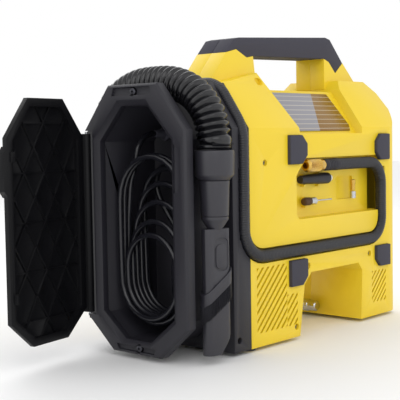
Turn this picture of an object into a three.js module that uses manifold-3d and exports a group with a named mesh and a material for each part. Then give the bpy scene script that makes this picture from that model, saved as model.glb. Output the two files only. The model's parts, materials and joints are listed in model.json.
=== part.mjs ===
// Portable corded tyre inflator and car vacuum, millimetres, +Z up.
// X is the long direction (-X is the end with the cord compartment), -Y is the side with the
// accessory tray, z = 0 is the surface that the feet rest on.
import * as THREE from 'three';
import { mergeVertices } from 'three/addons/utils/BufferGeometryUtils.js';
import Module from 'manifold-3d';

const wasm = await Module();
wasm.setup();

// ---------- driving dimensions ----------
const GAP = 0.3; // between touching pieces
const WALL = 3;
const HALF_DEPTH = 73; // of the yellow body
const BODY_X0 = -103.7;
const BODY_X1 = 195;
const BASE_Z = 4; // underside of the legs, the feet fill the rest
const CHAMFER_Z = 230; // where the side walls turn inwards
const CHAMFER_RUN = 37;
const CHAMFER_RISE = 54;
const CHAMFER_SLOPE = CHAMFER_RUN / CHAMFER_RISE;
const ROOF_Z = 300; // above every part of the body's own outline
const ROOF_LEFT = 290; // the roof drops between the handle's posts
const ROOF_MIDDLE = 272;
const ROOF_RIGHT = 286;
const CORNER_R = 25; // vertical edges at the plain end

const BLOCK_X0 = -131; // black end housing behind the hose channel
const BLOCK_X1 = BODY_X0 - GAP;
const BLOCK_TOP = 277;
const DRUM_HALF = 54.5; // octagonal drum that the suction hose is wound on
const DRUM_TOP = 256.5;
const DRUM_BOTTOM = 15;
const DRUM_CHAMFER_Y = 32;
const DRUM_CHAMFER_Z = 37;
const DRUM_WALL = 3;
const DRUM_BACK_X = -112;

const FRAME_X0 = -198; // octagonal frame of the cord compartment
const FRAME_X1 = -187;
const FRAME_HALF = 71;
const FRAME_FLAT = 34;
const FRAME_TOP = 275;
const FRAME_BOTTOM = 5.5;
const FRAME_UPPER_Z = 229;
const FRAME_LOWER_Z = 38;
const MOUTH_HALF = 50;
const MOUTH_FLAT = 18;
const MOUTH_TOP = 254;
const MOUTH_BOTTOM = 19;
const MOUTH_UPPER_Z = 219;
const MOUTH_LOWER_Z = 45;

const DOOR_AXIS_X = -200;
const DOOR_AXIS_Y = 64;
const DOOR_OPEN_DEG = 80;
const DOOR_THICK = 8;
const DOOR_NEAR_Y = -54; // closed position
const DOOR_FAR_Y = 60;
const DOOR_BOTTOM = 22;
const DOOR_TOP = 262;
const DOOR_SKIN = 2.6;
const DOOR_RIM = 8;

const AIR_HOSE_OD = 13.5;
const AIR_HOSE_X = -113.6;
const AIR_HOSE_Y = 72; // centre line, both sides of the end housing
const AIR_RUN_LOW = 98;
const AIR_RUN_HIGH = 188.5;
const AIR_RUN_RIGHT = 150.5;
const AIR_BEND_R = 26;
const AIR_CORNER_R = 32;
const GROOVE_WIDTH = 16;
const GROOVE_DEPTH = 11;

const HOSE_X = -161; // suction hose in its channel
const HOSE_Y = 75;
const HOSE_OD = 34;
const NOZZLE_TWIST = THREE.MathUtils.degToRad(-15);

const BELLY_Z = 71.5;
const LEG_LEFT = -19;
const LEG_RIGHT = 104;

const HANDLE_HALF = 20.5;
const CORE_HALF = 12;

const TOOTH = 1.25; // module of the reduction gears
const PINION_TEETH = 9;
const WHEEL_TEETH = 36;
const SHAFT_R = 1.5; // compressor motor's shaft

const CORD_D = 6;
// Wound power cord: its front loops hang lower, so the hole in the middle ends below the top turns.
const COIL = { x0: -178, x1: -138, half: 48, low: 28, high: 208, band: 20, holeTop: 132 };

const DUST = { x: -62, z: 128, r: 27 }; // dust cup's axis and radius
const PANEL = { x0: 0, x1: 128, z0: 142, z1: 218, depth: 4 };
const FRAME_SCREWS = [[-1, 267.5], [-3, 11.5]];
const ACCESSORY_Y = -63.8; // centre line of the pieces stowed in the tray
const CONE_Z = 173;
const NEEDLE_Z = 148.5;
const LABEL_LEDGE_Z = 223;
const LABEL_SET_BACK = 11;
const TRAY = { x0: -23, x1: 145, z0: 131, z1: 197, depth: 16, cornerX: -5, cornerZ: 182 };
const ADAPTOR_POCKET = { x0: 77, x1: 111, z0: 146.5, z1: 173, depth: 3 };
const SCREWS = [[-78, 194], [-2.5, 79], [123, 80], [-25, 15]];
const BUMPERS = [
  { name: 'upper_left', x0: -38, x1: -6.5, z0: 191, z1: 222, inward: 1, upperSlant: 9 },
  { name: 'upper_right', x0: 136, x1: 165, z0: 191, z1: 222, inward: -1, upperSlant: 9 },
  { name: 'lower_left', x0: -38, x1: -8, z0: 60, z1: 88, inward: 1, upperSlant: 1 },
  { name: 'lower_right', x0: 135, x1: 165, z0: 63, z1: 88, inward: -1, upperSlant: 1 },
];
const VENTS = [
  { x0: -94, x1: -42, z0: 18, z1: 86, pitch: 9 },
  { x0: -42, x1: -23, z0: 18, z1: 52, pitch: 9 },
  { x0: 128, x1: 160, z0: 20, z1: 58, pitch: 8 },
];
const FAR_VENTS = [{ ...VENTS[0], z1: 60 }, VENTS[2]];
const LABEL_X0 = -15; // foot of the leaning wall at the label's left
const LABEL_X1 = 108;
const LABEL_LEAN = 23 / 67; // how far that wall moves left for each millimetre up
const TOP_WELL = { x0: -49, x1: -37, z0: 276, z1: 284, floorY: -34 }; // screw well on the slope

const ORIGIN_X = -63.55; // middle of the overall length, door open

// ---------- finishes ----------
const finish = (color, roughness, metalness = 0) =>
  new THREE.MeshStandardMaterial({ color, roughness, metalness });
const yellow = () => finish(0xefd03a, 0.45);
const black = () => finish(0x35343b, 0.6);
const rubber = () => finish(0x2f2e34, 0.85);
const steel = () => finish(0xb8babd, 0.3, 1);
const brass = () => finish(0xc9a24a, 0.3, 1);

// ---------- solids ----------
const BASES = {
  x: new THREE.Matrix4().makeBasis(
    new THREE.Vector3(0, 1, 0), new THREE.Vector3(0, 0, 1), new THREE.Vector3(1, 0, 0)),
  y: new THREE.Matrix4().makeBasis(
    new THREE.Vector3(1, 0, 0), new THREE.Vector3(0, 0, 1), new THREE.Vector3(0, -1, 0)),
  z: new THREE.Matrix4(),
};

function toSolid(geometry) {
  const bare = geometry.clone();
  bare.deleteAttribute('normal');
  bare.deleteAttribute('uv');
  const merged = mergeVertices(bare, 1e-4);
  return new wasm.Manifold(new wasm.Mesh({
    numProp: 3,
    vertProperties: new Float32Array(merged.attributes.position.array),
    triVerts: new Uint32Array(merged.index.array),
  }));
}

function toGeometry(solid) {
  const mesh = solid.getMesh();
  const geometry = new THREE.BufferGeometry();
  geometry.setAttribute('position', new THREE.BufferAttribute(new Float32Array(mesh.vertProperties), 3));
  geometry.setIndex(new THREE.BufferAttribute(new Uint32Array(mesh.triVerts), 1));
  geometry.computeVertexNormals();
  return geometry;
}

// An outline in the plane across the axis, pushed from one place on the axis to another.
// Across x the outline is (y, z), across y it is (x, z), across z it is (x, y).
function prism(axis, outline, from, to) {
  const shape = new THREE.Shape(outline.map(([u, v]) => new THREE.Vector2(u, v)));
  const geometry = new THREE.ExtrudeGeometry(shape, { depth: to - from, bevelEnabled: false });
  geometry.applyMatrix4(BASES[axis]);
  const shift = { x: [from, 0, 0], y: [0, to, 0], z: [0, 0, from] }[axis];
  geometry.translate(...shift);
  return toSolid(geometry);
}

const box = (x0, x1, y0, y1, z0, z1) => prism('z', [[x0, y0], [x1, y0], [x1, y1], [x0, y1]], z0, z1);

function arc(cx, cy, r, startDeg, endDeg, steps) {
  return Array.from({ length: steps + 1 }, (_, i) => {
    const a = THREE.MathUtils.degToRad(startDeg + ((endDeg - startDeg) * i) / steps);
    return [cx + r * Math.cos(a), cy + r * Math.sin(a)];
  });
}

const circle = (cx, cy, r, sides) => arc(cx, cy, r, 0, 360 * (1 - 1 / sides), sides - 1);

const rod = (axis, cu, cv, r, from, to, sides = 16) => prism(axis, circle(cu, cv, r, sides), from, to);

function roundedRect(u0, u1, v0, v1, r, steps = 3) {
  return [
    ...arc(u1 - r, v0 + r, r, -90, 0, steps),
    ...arc(u1 - r, v1 - r, r, 0, 90, steps),
    ...arc(u0 + r, v1 - r, r, 90, 180, steps),
    ...arc(u0 + r, v0 + r, r, 180, 270, steps),
  ];
}

// A turned piece: profile of [radius, height] from the bottom of the axis to its top.
function turned(axis, centre, profile, sides = 20) {
  const points = profile.map(([r, h]) => new THREE.Vector2(r, h));
  const geometry = new THREE.LatheGeometry(points, sides);
  const turn = { x: [0, 0, -Math.PI / 2], y: [0, 0, 0], z: [Math.PI / 2, 0, 0] }[axis];
  geometry.applyMatrix4(new THREE.Matrix4().makeRotationFromEuler(new THREE.Euler(...turn)));
  geometry.translate(...centre);
  return toSolid(geometry);
}

// A round tube along a curve.
function swept(curve, radius, sides, steps) {
  const section = new THREE.Shape(circle(0, 0, radius, sides).map(([u, v]) => new THREE.Vector2(u, v)));
  return toSolid(new THREE.ExtrudeGeometry(section, { steps, extrudePath: curve, bevelEnabled: false }));
}

const join = (...solids) => solids.reduce((a, b) => a.add(b));
const cut = (solid, ...tools) => tools.reduce((a, b) => a.subtract(b), solid);
const mirrorOutline = (outline) => outline.map(([y, z]) => [-y, z]);

const root = new THREE.Group();
const machine = new THREE.Group();
machine.position.x = -ORIGIN_X;
root.add(machine);

function piece(name, solid, material, parent = machine) {
  const mesh = new THREE.Mesh(toGeometry(solid), material);
  mesh.name = name;
  parent.add(mesh);
  return mesh;
}

// ---------- outlines ----------
// Half of the body's cross-section in (y, z), near side, offset inwards by inset.
function flankOutline(inset, middle) {
  const lean = Math.atan(CHAMFER_SLOPE);
  const wallY = HALF_DEPTH - inset;
  const turnZ = CHAMFER_Z - inset * Math.tan(lean / 2);
  const roofY = wallY - (ROOF_Z - turnZ) * CHAMFER_SLOPE;
  return [[middle, BASE_Z + inset], [middle, ROOF_Z], [-roofY, ROOF_Z], [-wallY, turnZ],
    [-wallY, BASE_Z + inset]];
}

// The body from the side in (x, z), legs and belly gap included, offset inwards by inset.
function bodyOutline(inset) {
  const i = inset;
  return [
    [BODY_X0 + i, BASE_Z + i], [LEG_LEFT - i, BASE_Z + i], [-10 - i, 59.5 + i / 2],
    [3 - i / 2, BELLY_Z + i], [98.5 + i / 2, BELLY_Z + i], [107 + i, 62 + i / 2],
    [LEG_RIGHT + i, BASE_Z + i], [187 - i / 2, BASE_Z + i],
    [BODY_X1 - i, 12 + i / 2], [BODY_X1 - i, 246 - i / 2], [187 - i, 272 - i],
    [172 - i, ROOF_RIGHT - i], [116 + i / 2, ROOF_RIGHT - i], [106 + i / 2, ROOF_MIDDLE - i],
    [-24 - i / 2, ROOF_MIDDLE - i], [-38 - i / 2, ROOF_LEFT - i], [BODY_X0 + i, 277 - i],
  ];
}

const GRIP_OUTER = [[-75, 311], [-61, 326], [-52, 328], [112, 338], [121, 336], [148, 309]];
const GRIP_UNDER = [[132, 296], [118, 309], [108, 312.5], [-29, 309], [-40, 307], [-58, 315]];

// Handle from the side: sloping posts and the bar between them, down into the body.
const HANDLE_OUTLINE = [[-103, 272], [-103, 279], ...GRIP_OUTER, [174, 286], [174, 276], [108, 276],
  [108, 312.5], [-29, 309], [-24, 276]];

// ---------- yellow shells ----------
function groovePath() {
  return [
    [34, AIR_RUN_HIGH],
    ...arc(AIR_RUN_RIGHT - AIR_BEND_R, AIR_RUN_HIGH - AIR_BEND_R, AIR_BEND_R, 90, 0, 6),
    ...arc(AIR_RUN_RIGHT - AIR_BEND_R, AIR_RUN_LOW + AIR_BEND_R, AIR_BEND_R, 0, -90, 6),
    ...arc(AIR_HOSE_X + AIR_CORNER_R, AIR_RUN_LOW + AIR_CORNER_R, AIR_CORNER_R, 270, 180, 6),
    [AIR_HOSE_X, 190],
  ];
}

// A channel of the given width that follows the hose's run over the side wall.
function grooveTool(width, depth) {
  const path = groovePath().map(([x, z]) => new THREE.Vector2(x, z));
  const offset = (side) => path.map((p, i) => {
    const ahead = path[Math.min(i + 1, path.length - 1)];
    const behind = path[Math.max(i - 1, 0)];
    const run = ahead.clone().sub(behind).normalize();
    return [p.x - side * run.y * width / 2, p.y + side * run.x * width / 2];
  });
  return prism('y', [...offset(1), ...offset(-1).reverse()], -HALF_DEPTH - 5, -HALF_DEPTH + depth);
}

// Bumper outline: a pad whose corners towards the middle of the machine are cut off.
function bumperOutline({ x0, x1, z0, z1, inward, upperSlant }, grow) {
  const outer = inward > 0 ? x0 - grow : x1 + grow;
  const inner = inward > 0 ? x1 + grow : x0 - grow;
  const slant = 9;
  return [[outer, z0 - grow], [inner - inward * slant, z0 - grow], [inner, z0 - grow + slant],
    [inner, z1 + grow - upperSlant], [inner - inward * upperSlant, z1 + grow], [outer, z1 + grow]];
}

// Slots rising to the right at 45 degrees, inside a window.
function ventSlots({ x0, x1, z0, z1, pitch }) {
  const slotWidth = pitch * 0.42;
  const window = box(x0, x1, -HALF_DEPTH - 1, -HALF_DEPTH + WALL + 2, z0, z1);
  const reach = z1 - z0;
  const slots = [];
  for (let start = x0 - reach; start < x1; start += pitch) {
    slots.push(prism('y', [[start, z0], [start + slotWidth, z0], [start + slotWidth + reach, z1],
      [start + reach, z1]], -HALF_DEPTH - 1, -HALF_DEPTH + WALL + 2));
  }
  return join(...slots).intersect(window);
}

// One half of the clamshell, made as the near half; the far half is its mirror image.
function halfShell(features) {
  const outer = prism('y', bodyOutline(0), -HALF_DEPTH, -GAP / 2)
    .intersect(prism('x', flankOutline(0, -GAP / 2), BODY_X0, BODY_X1));
  const round = cut(
    box(BODY_X1 - CORNER_R, BODY_X1 + 1, -HALF_DEPTH - 1, -HALF_DEPTH + CORNER_R, BASE_Z - 1, ROOF_Z),
    rod('z', BODY_X1 - CORNER_R, -HALF_DEPTH + CORNER_R, CORNER_R, BASE_Z - 2, ROOF_Z + 1, 32));
  const posts = prism('y', HANDLE_OUTLINE, -HANDLE_HALF, -GAP / 2);
  const grip = gripSpace(GAP);
  const innerRound = cut(
    box(BODY_X1 - CORNER_R, BODY_X1, -HALF_DEPTH, -HALF_DEPTH + CORNER_R, BASE_Z, ROOF_Z),
    rod('z', BODY_X1 - CORNER_R, -HALF_DEPTH + CORNER_R, CORNER_R - WALL, BASE_Z - 2, ROOF_Z + 1, 32));
  let cavity = prism('y', bodyOutline(WALL), -HALF_DEPTH, 1)
    .intersect(prism('x', flankOutline(WALL, 1), BODY_X0, BODY_X1));
  cavity = cut(cavity, innerRound, ...features.backing,
    ...SCREWS.map(([x, z]) => rod('y', x, z, 4.6, -HALF_DEPTH, 0, 10)));
  const bodyShell = cut(join(cut(outer, ...features.flank), posts), round, grip, cavity);
  const screwWells = SCREWS.map(([x, z]) => rod('y', x, z, 3.6, -HALF_DEPTH - 1, -HALF_DEPTH + 5, 12));
  const bumperWells = BUMPERS.map((b) =>
    prism('y', bumperOutline(b, GAP), -HALF_DEPTH - 1, -HALF_DEPTH + 2));
  return cut(bodyShell, ...screwWells, ...bumperWells, ...features.cuts);
}

// Space that the soft grip fills around the handle's core, as the near half.
function gripSpace(grow) {
  const bar = prism('y', [...GRIP_OUTER, ...GRIP_UNDER], -HANDLE_HALF - 1, 1);
  const core = prism('y', coreOutline(grow), -CORE_HALF - grow, 2);
  return cut(bar, core);
}

// The handle's core inside the grip.
function coreOutline(grow) {
  const g = grow;
  return [[-80, 290], [-64 - g, 318 + g], [-54, 323.5 + g], [112, 333 + g], [126 + g, 325], [150, 290],
    [120 + g, 303], [110, 317 - g], [-30, 313 - g], [-44 - g, 311]];
}

// How far the set-back wall behind the label stands from the middle plane at a height.
function labelWallY(z) {
  const lean = Math.atan(CHAMFER_SLOPE);
  const turnZ = CHAMFER_Z - LABEL_SET_BACK * Math.sin(lean);
  return HALF_DEPTH - LABEL_SET_BACK * Math.cos(lean) - (z - turnZ) * CHAMFER_SLOPE;
}

function traySideFeatures() {
  const ledgeZ = LABEL_LEDGE_Z;
  const sunkY = labelWallY(ledgeZ);
  const topY = labelWallY(ROOF_Z);
  const leanX = LABEL_X0 - (ROOF_Z - ledgeZ) * LABEL_LEAN;
  const labelCut = prism('x', [[-HALF_DEPTH - 2, ledgeZ], [-sunkY, ledgeZ], [-topY, ROOF_Z],
    [-HALF_DEPTH - 2, ROOF_Z]], leanX - 1, LABEL_X1)
    .intersect(prism('y', [[LABEL_X0, ledgeZ], [LABEL_X1, ledgeZ], [LABEL_X1, ROOF_Z], [leanX, ROOF_Z]],
      -HALF_DEPTH - 3, 0));
  const labelBack = prism('x', [[-HALF_DEPTH, ledgeZ - WALL], [-sunkY + WALL, ledgeZ - WALL],
    [-topY + WALL * 1.2, ROOF_Z], [-HALF_DEPTH, ROOF_Z]], leanX - WALL, LABEL_X1 + WALL);
  const well = TOP_WELL;
  const wellBack = box(well.x0 - 2, well.x1 + 2, -HALF_DEPTH, well.floorY + 2, well.z0 - 2, well.z1 + 2);
  const trayOutline = [[TRAY.x0 + 5, TRAY.z0], [TRAY.x1, TRAY.z0], [TRAY.x1, TRAY.z1],
    [TRAY.cornerX, TRAY.z1],
    [TRAY.x0 + 3, TRAY.cornerZ], [TRAY.x0, TRAY.cornerZ - 4], [TRAY.x0, TRAY.z0 + 5]];
  const trayCut = prism('y', trayOutline, -HALF_DEPTH - 1, -HALF_DEPTH + TRAY.depth);
  const slotEnd = AIR_RUN_RIGHT + GROOVE_WIDTH / 2 - 0.2;
  const darkSlot = box(TRAY.x1 - 1, slotEnd, -HALF_DEPTH, -40, TRAY.z0 + 0.5, 183);
  const pocket = ADAPTOR_POCKET;
  const floorY = -HALF_DEPTH + TRAY.depth;
  const pocketCut = prism('y', roundedRect(pocket.x0, pocket.x1, pocket.z0, pocket.z1, 1.5, 1), floorY - 1,
    floorY + pocket.depth);
  const pocketBack = box(pocket.x0 - WALL, pocket.x1 + WALL, floorY - 1, floorY + pocket.depth + WALL,
    pocket.z0 - WALL, pocket.z1 + WALL);
  const trayBack = box(TRAY.x0 - WALL, TRAY.x1 + WALL, -HALF_DEPTH, -HALF_DEPTH + TRAY.depth + WALL,
    TRAY.z0 - WALL, TRAY.z1 + WALL);
  const saddles = [[8, CONE_Z, 6.2], [36, CONE_Z, 6.9], [10, NEEDLE_Z, 4.9]];
  const cradle = saddles.map(([x, z, r]) => cut(
    box(x - 2, x + 2, floorY - 5, floorY + 1, z - r - 2, z + r - 0.4),
    rod('x', ACCESSORY_Y, z, r, x - 3, x + 3, 16)));
  return {
    flank: [labelCut],
    backing: [trayBack, pocketBack, labelBack, wellBack,
      grooveTool(GROOVE_WIDTH + 2 * WALL, GROOVE_DEPTH + WALL)],
    cuts: [cut(trayCut, ...cradle), pocketCut, darkSlot, grooveTool(GROOVE_WIDTH, GROOVE_DEPTH),
      ...VENTS.map(ventSlots),
      prism('y', roundedRect(well.x0, well.x1, well.z0, well.z1, 3.9), -HALF_DEPTH, well.floorY)],
  };
}

function controlSideFeatures() {
  const panelCut = prism('y', roundedRect(PANEL.x0, PANEL.x1, PANEL.z0, PANEL.z1, 8), -HALF_DEPTH - 1,
    -HALF_DEPTH + PANEL.depth);
  const panelBack = box(PANEL.x0 - WALL, PANEL.x1 + WALL, -HALF_DEPTH, -HALF_DEPTH + PANEL.depth + WALL,
    PANEL.z0 - WALL, PANEL.z1 + WALL);
  const cupHole = rod('y', DUST.x, DUST.z, DUST.r + GAP, -HALF_DEPTH - 1, -HALF_DEPTH + 20, 36);
  return {
    flank: [],
    backing: [panelBack, rod('y', DUST.x, DUST.z, DUST.r + WALL, -HALF_DEPTH, -HALF_DEPTH + 12, 36)],
    cuts: [panelCut, cupHole, ...FAR_VENTS.map(ventSlots)],
  };
}

function shells() {
  piece('tray_side_shell', halfShell(traySideFeatures()), yellow());
  const far = halfShell(controlSideFeatures()).mirror([0, 1, 0]);
  piece('control_side_shell', far, yellow());
  BUMPERS.forEach((b) => {
    const pad = prism('y', bumperOutline(b, 0), -HALF_DEPTH - 4, -HALF_DEPTH + 2 - GAP);
    piece(`tray_bumper_${b.name}`, pad, rubber());
    piece(`control_bumper_${b.name}`, pad.mirror([0, 1, 0]), rubber());
  });
  piece('rating_label', ratingLabel(), finish(0xb98a2e, 0.5));
}

// A sticker on the set-back slope above the tray.
function ratingLabel() {
  const lean = Math.atan(CHAMFER_SLOPE);
  const plate = prism('z', [[-14, 0], [98, 0], [102, 8], [92, 52], [-27, 52]], 0, 0.8);
  const footZ = LABEL_LEDGE_Z + 3;
  const foot = new THREE.Vector3(0, -labelWallY(footZ) - GAP / Math.cos(lean), footZ);
  const turn = new THREE.Matrix4().makeBasis(
    new THREE.Vector3(1, 0, 0),
    new THREE.Vector3(0, Math.sin(lean), Math.cos(lean)),
    new THREE.Vector3(0, -Math.cos(lean), Math.sin(lean)));
  turn.setPosition(foot);
  return toSolid(toGeometry(plate).applyMatrix4(turn));
}

// ---------- handle grip ----------
function handleGrip() {
  const parts = cut(
    prism('y', [...GRIP_OUTER, ...GRIP_UNDER], -HANDLE_HALF, -GAP / 2),
    prism('y', coreOutline(GAP), -CORE_HALF - GAP, 2)).decompose();
  // The core leaves crumbs at its ends, so the pad is the largest part.
  const near = parts.reduce((a, b) => (b.volume() > a.volume() ? b : a));
  piece('grip_tray_side', near, rubber());
  piece('grip_control_side', near.mirror([0, 1, 0]), rubber());
}

// ---------- end housing ----------
function octagon(half, flat, top, bottom, upperZ, lowerZ) {
  return [[-half, lowerZ], [-flat, bottom], [flat, bottom], [half, lowerZ], [half, upperZ], [flat, top],
    [-flat, top], [-half, upperZ]];
}

function drumOutline(inset) {
  const half = DRUM_HALF - inset;
  const flat = DRUM_HALF - DRUM_CHAMFER_Y - inset * 0.35;
  return octagon(half, flat, DRUM_TOP - inset, DRUM_BOTTOM + inset, DRUM_TOP - DRUM_CHAMFER_Z - inset * 0.35,
    DRUM_BOTTOM + 26 + inset * 0.35);
}

// Corners of the end housing's outline, offset inwards by a depth.
function ringCorners(depth) {
  const side = HALF_DEPTH - depth;
  const turnZ = CHAMFER_Z - depth * Math.tan(Math.atan(CHAMFER_SLOPE) / 2);
  const topZ = BLOCK_TOP - depth;
  return { side, turnZ, topZ, topY: side - (topZ - turnZ) * CHAMFER_SLOPE };
}

function endHousing() {
  const blockTopY = HALF_DEPTH - (BLOCK_TOP - CHAMFER_Z) * CHAMFER_SLOPE;
  const half = [[-blockTopY, BLOCK_TOP], [-HALF_DEPTH, CHAMFER_Z], [-HALF_DEPTH, BASE_Z]];
  const outline = [...half, ...mirrorOutline(half).reverse()];
  const block = prism('x', outline, BLOCK_X0, BLOCK_X1);
  const drum = prism('x', drumOutline(0), FRAME_X1 + GAP, BLOCK_X0 + 1);
  const pocket = prism('x', drumOutline(DRUM_WALL), FRAME_X0, DRUM_BACK_X);
  const floor = ringCorners(GROOVE_DEPTH);
  const core = [[-floor.side, 40], [-floor.side, floor.turnZ], [-floor.topY, floor.topZ],
    [floor.topY, floor.topZ], [floor.side, floor.turnZ], [floor.side, 40]];
  const ring = cut(
    prism('x', [[-100, 50], [-100, 320], [100, 320], [100, 50]], AIR_HOSE_X - GROOVE_WIDTH / 2 + 1,
      AIR_HOSE_X + GROOVE_WIDTH / 2 - 1),
    prism('x', core, -140, -90),
    box(-140, -90, -100, 0, 0, AIR_RUN_LOW + 20));
  const bend = grooveTool(GROOVE_WIDTH, GROOVE_DEPTH);
  const screwHole = rod('y', -123, 16, 3.4, -HALF_DEPTH - 1, -HALF_DEPTH + 6, 12);
  const portHole = rod('x', HOSE_Y - 16, 45, 8, BLOCK_X0 - 1, BLOCK_X0 + 4, 16);
  return cut(join(block, drum), pocket, ring, bend, screwHole, portHole);
}

// ---------- compartment frame and door ----------
// A closed skin through cross-sections that lie across x and have equally many points.
function loftX(sections) {
  const count = sections[0].outline.length;
  const vertices = sections.flatMap(({ x, outline }) => outline.flatMap(([y, z]) => [x, y, z]));
  const faces = [];
  for (let s = 0; s + 1 < sections.length; s += 1) {
    for (let i = 0; i < count; i += 1) {
      const j = (i + 1) % count;
      const [a, b, c, d] = [s * count + i, s * count + j, (s + 1) * count + j, (s + 1) * count + i];
      faces.push(a, d, c, a, c, b);
    }
  }
  const lastRow = (sections.length - 1) * count;
  for (let i = 1; i + 1 < count; i += 1) {
    faces.push(0, i, i + 1, lastRow, lastRow + i + 1, lastRow + i);
  }
  const geometry = new THREE.BufferGeometry();
  geometry.setAttribute('position', new THREE.Float32BufferAttribute(vertices, 3));
  geometry.setIndex(faces);
  const solid = toSolid(geometry);
  if (solid.volume() > 0) return solid;
  geometry.setIndex(faces.map((_, k) => faces[k - (k % 3) + [0, 2, 1][k % 3]]));
  return toSolid(geometry);
}

function frameOutline(inset) {
  return octagon(FRAME_HALF - inset, FRAME_FLAT - inset * 0.35, FRAME_TOP - inset, FRAME_BOTTOM + inset,
    FRAME_UPPER_Z - inset * 0.35, FRAME_LOWER_Z + inset * 0.35);
}

function mouthOutline(grow) {
  return octagon(MOUTH_HALF + grow, MOUTH_FLAT + grow * 0.35, MOUTH_TOP + grow, MOUTH_BOTTOM - grow,
    MOUTH_UPPER_Z + grow * 0.35, MOUTH_LOWER_Z - grow * 0.35);
}

function compartmentFrame() {
  const bevel = 2;
  const ring = loftX([
    { x: FRAME_X0, outline: frameOutline(bevel) },
    { x: FRAME_X0 + bevel, outline: frameOutline(0) },
    { x: FRAME_X1, outline: frameOutline(0) },
  ]);
  const mouth = loftX([
    { x: FRAME_X0 - 1, outline: mouthOutline(7) },
    { x: FRAME_X0 + 4, outline: mouthOutline(0) },
    { x: FRAME_X1 + 1, outline: mouthOutline(0) },
  ]);
  const upperSlot = prism('x', [[-28, 264], [28, 264], [25, 272], [-25, 272]], FRAME_X0 - 1, FRAME_X0 + 3);
  const lowerSlot = prism('x', [[-28, 14], [28, 14], [25, 8.5], [-25, 8.5]], FRAME_X0 - 1, FRAME_X0 + 3);
  const hinge = box(FRAME_X0 - 1, FRAME_X0 + 6, DOOR_AXIS_Y - 7, DOOR_AXIS_Y + 8, 40, 230);
  const latch = prism('x', [[-54, 168], [-64, 172], [-64, 212], [-54, 216]], FRAME_X0 - 1, FRAME_X0 + 3);
  const screwHoles = FRAME_SCREWS.map(([y, z]) => rod('x', y, z, 4.6, FRAME_X0 - 1, FRAME_X0 + 5, 14));
  return cut(ring, mouth, upperSlot, lowerSlot, hinge, latch, ...screwHoles);
}

// The door is drawn closed and its group turns it to the open rest position.
function compartmentDoor() {
  const hinge = new THREE.Group();
  hinge.position.set(DOOR_AXIS_X, DOOR_AXIS_Y, 0);
  hinge.rotation.z = THREE.MathUtils.degToRad(-DOOR_OPEN_DEG);
  machine.add(hinge);
  const near = DOOR_NEAR_Y - DOOR_AXIS_Y;
  const far = DOOR_FAR_Y - DOOR_AXIS_Y;
  const inner = -1.4; // inner face, just clear of the axis
  const outer = inner - DOOR_THICK;
  const leaf = (inset) => {
    const k = inset * 0.35;
    return [[near + inset, DOOR_BOTTOM + 26 + k], [near + 31 + k, DOOR_BOTTOM + inset],
      [far - 31 - k, DOOR_BOTTOM + inset], [far - inset, DOOR_BOTTOM + 26 + k],
      [far - inset, DOOR_TOP - 38 - k], [far - 31 - k, DOOR_TOP - inset],
      [near + 31 + k, DOOR_TOP - inset], [near + inset, DOOR_TOP - 38 - k]];
  };
  const plate = loftX([
    { x: outer, outline: leaf(4) },
    { x: outer + 3, outline: leaf(0) },
    { x: inner, outline: leaf(0) },
  ]);
  const recess = prism('x', leaf(DOOR_RIM), outer + DOOR_SKIN, inner + 1);
  const ribs = [];
  const rib = (y0, z0, y1, z1, width, height) => {
    const run = new THREE.Vector2(y1 - y0, z1 - z0).normalize();
    const [ny, nz] = [(-run.y * width) / 2, (run.x * width) / 2];
    ribs.push(prism('x', [[y0 + ny, z0 + nz], [y1 + ny, z1 + nz], [y1 - ny, z1 - nz], [y0 - ny, z0 - nz]],
      outer + DOOR_SKIN - 0.5, outer + DOOR_SKIN + height));
  };
  const middle = (near + far) / 2;
  const halfWidth = (far - near) / 2;
  for (let k = -2; k < 3; k += 1) {
    const z = (DOOR_TOP + DOOR_BOTTOM) / 2 + k * 48;
    rib(middle - halfWidth, z - 92, middle + halfWidth, z + 92, 1.6, 2.4);
    rib(middle - halfWidth, z + 92, middle + halfWidth, z - 92, 1.6, 2.4);
    rib(middle - halfWidth, z, middle + halfWidth, z, 1.4, 1.4);
  }
  const lattice = join(...ribs).intersect(prism('x', leaf(DOOR_RIM - 0.5), outer, inner));
  const catchTab = prism('x', [[near + 0.5, 168], [near - 4.5, 174], [near - 4.5, 210], [near + 0.5, 216]],
    outer + 1, inner);
  const snaps = [72, 206].map((z) => box(inner - 1, inner + 4, near + 5, near + 8, z - 5, z + 5));
  const knuckle = rod('z', 0, 0, 4.6, 43, 227, 14);
  const arm = box(outer + 2, 1, far - 1, 1, 43, 227);
  const bore = rod('z', 0, 0, 1.8, 40, 230, 12);
  const door = cut(join(cut(plate, recess), lattice, catchTab, ...snaps, arm, knuckle), bore);
  piece('compartment_door', door, black(), hinge);
  piece('door_hinge_pin', rod('z', DOOR_AXIS_X, DOOR_AXIS_Y, 1.5, 41, 229, 12), steel());
}

// ---------- feet and leg fitting ----------
function feet() {
  [['near_left', -94, -60], ['near_right', 168, -50], ['far_left', -94, 60], ['far_right', 168, 50]]
    .forEach(([name, x, y]) => {
      const footTop = BASE_Z - GAP;
      const foot = turned('z', [x, y, 0], [[0, 0], [7, 0], [8.5, 1.2], [8.5, footTop], [0, footTop]], 18);
      piece(`foot_${name}`, foot, rubber());
    });
}

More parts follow.
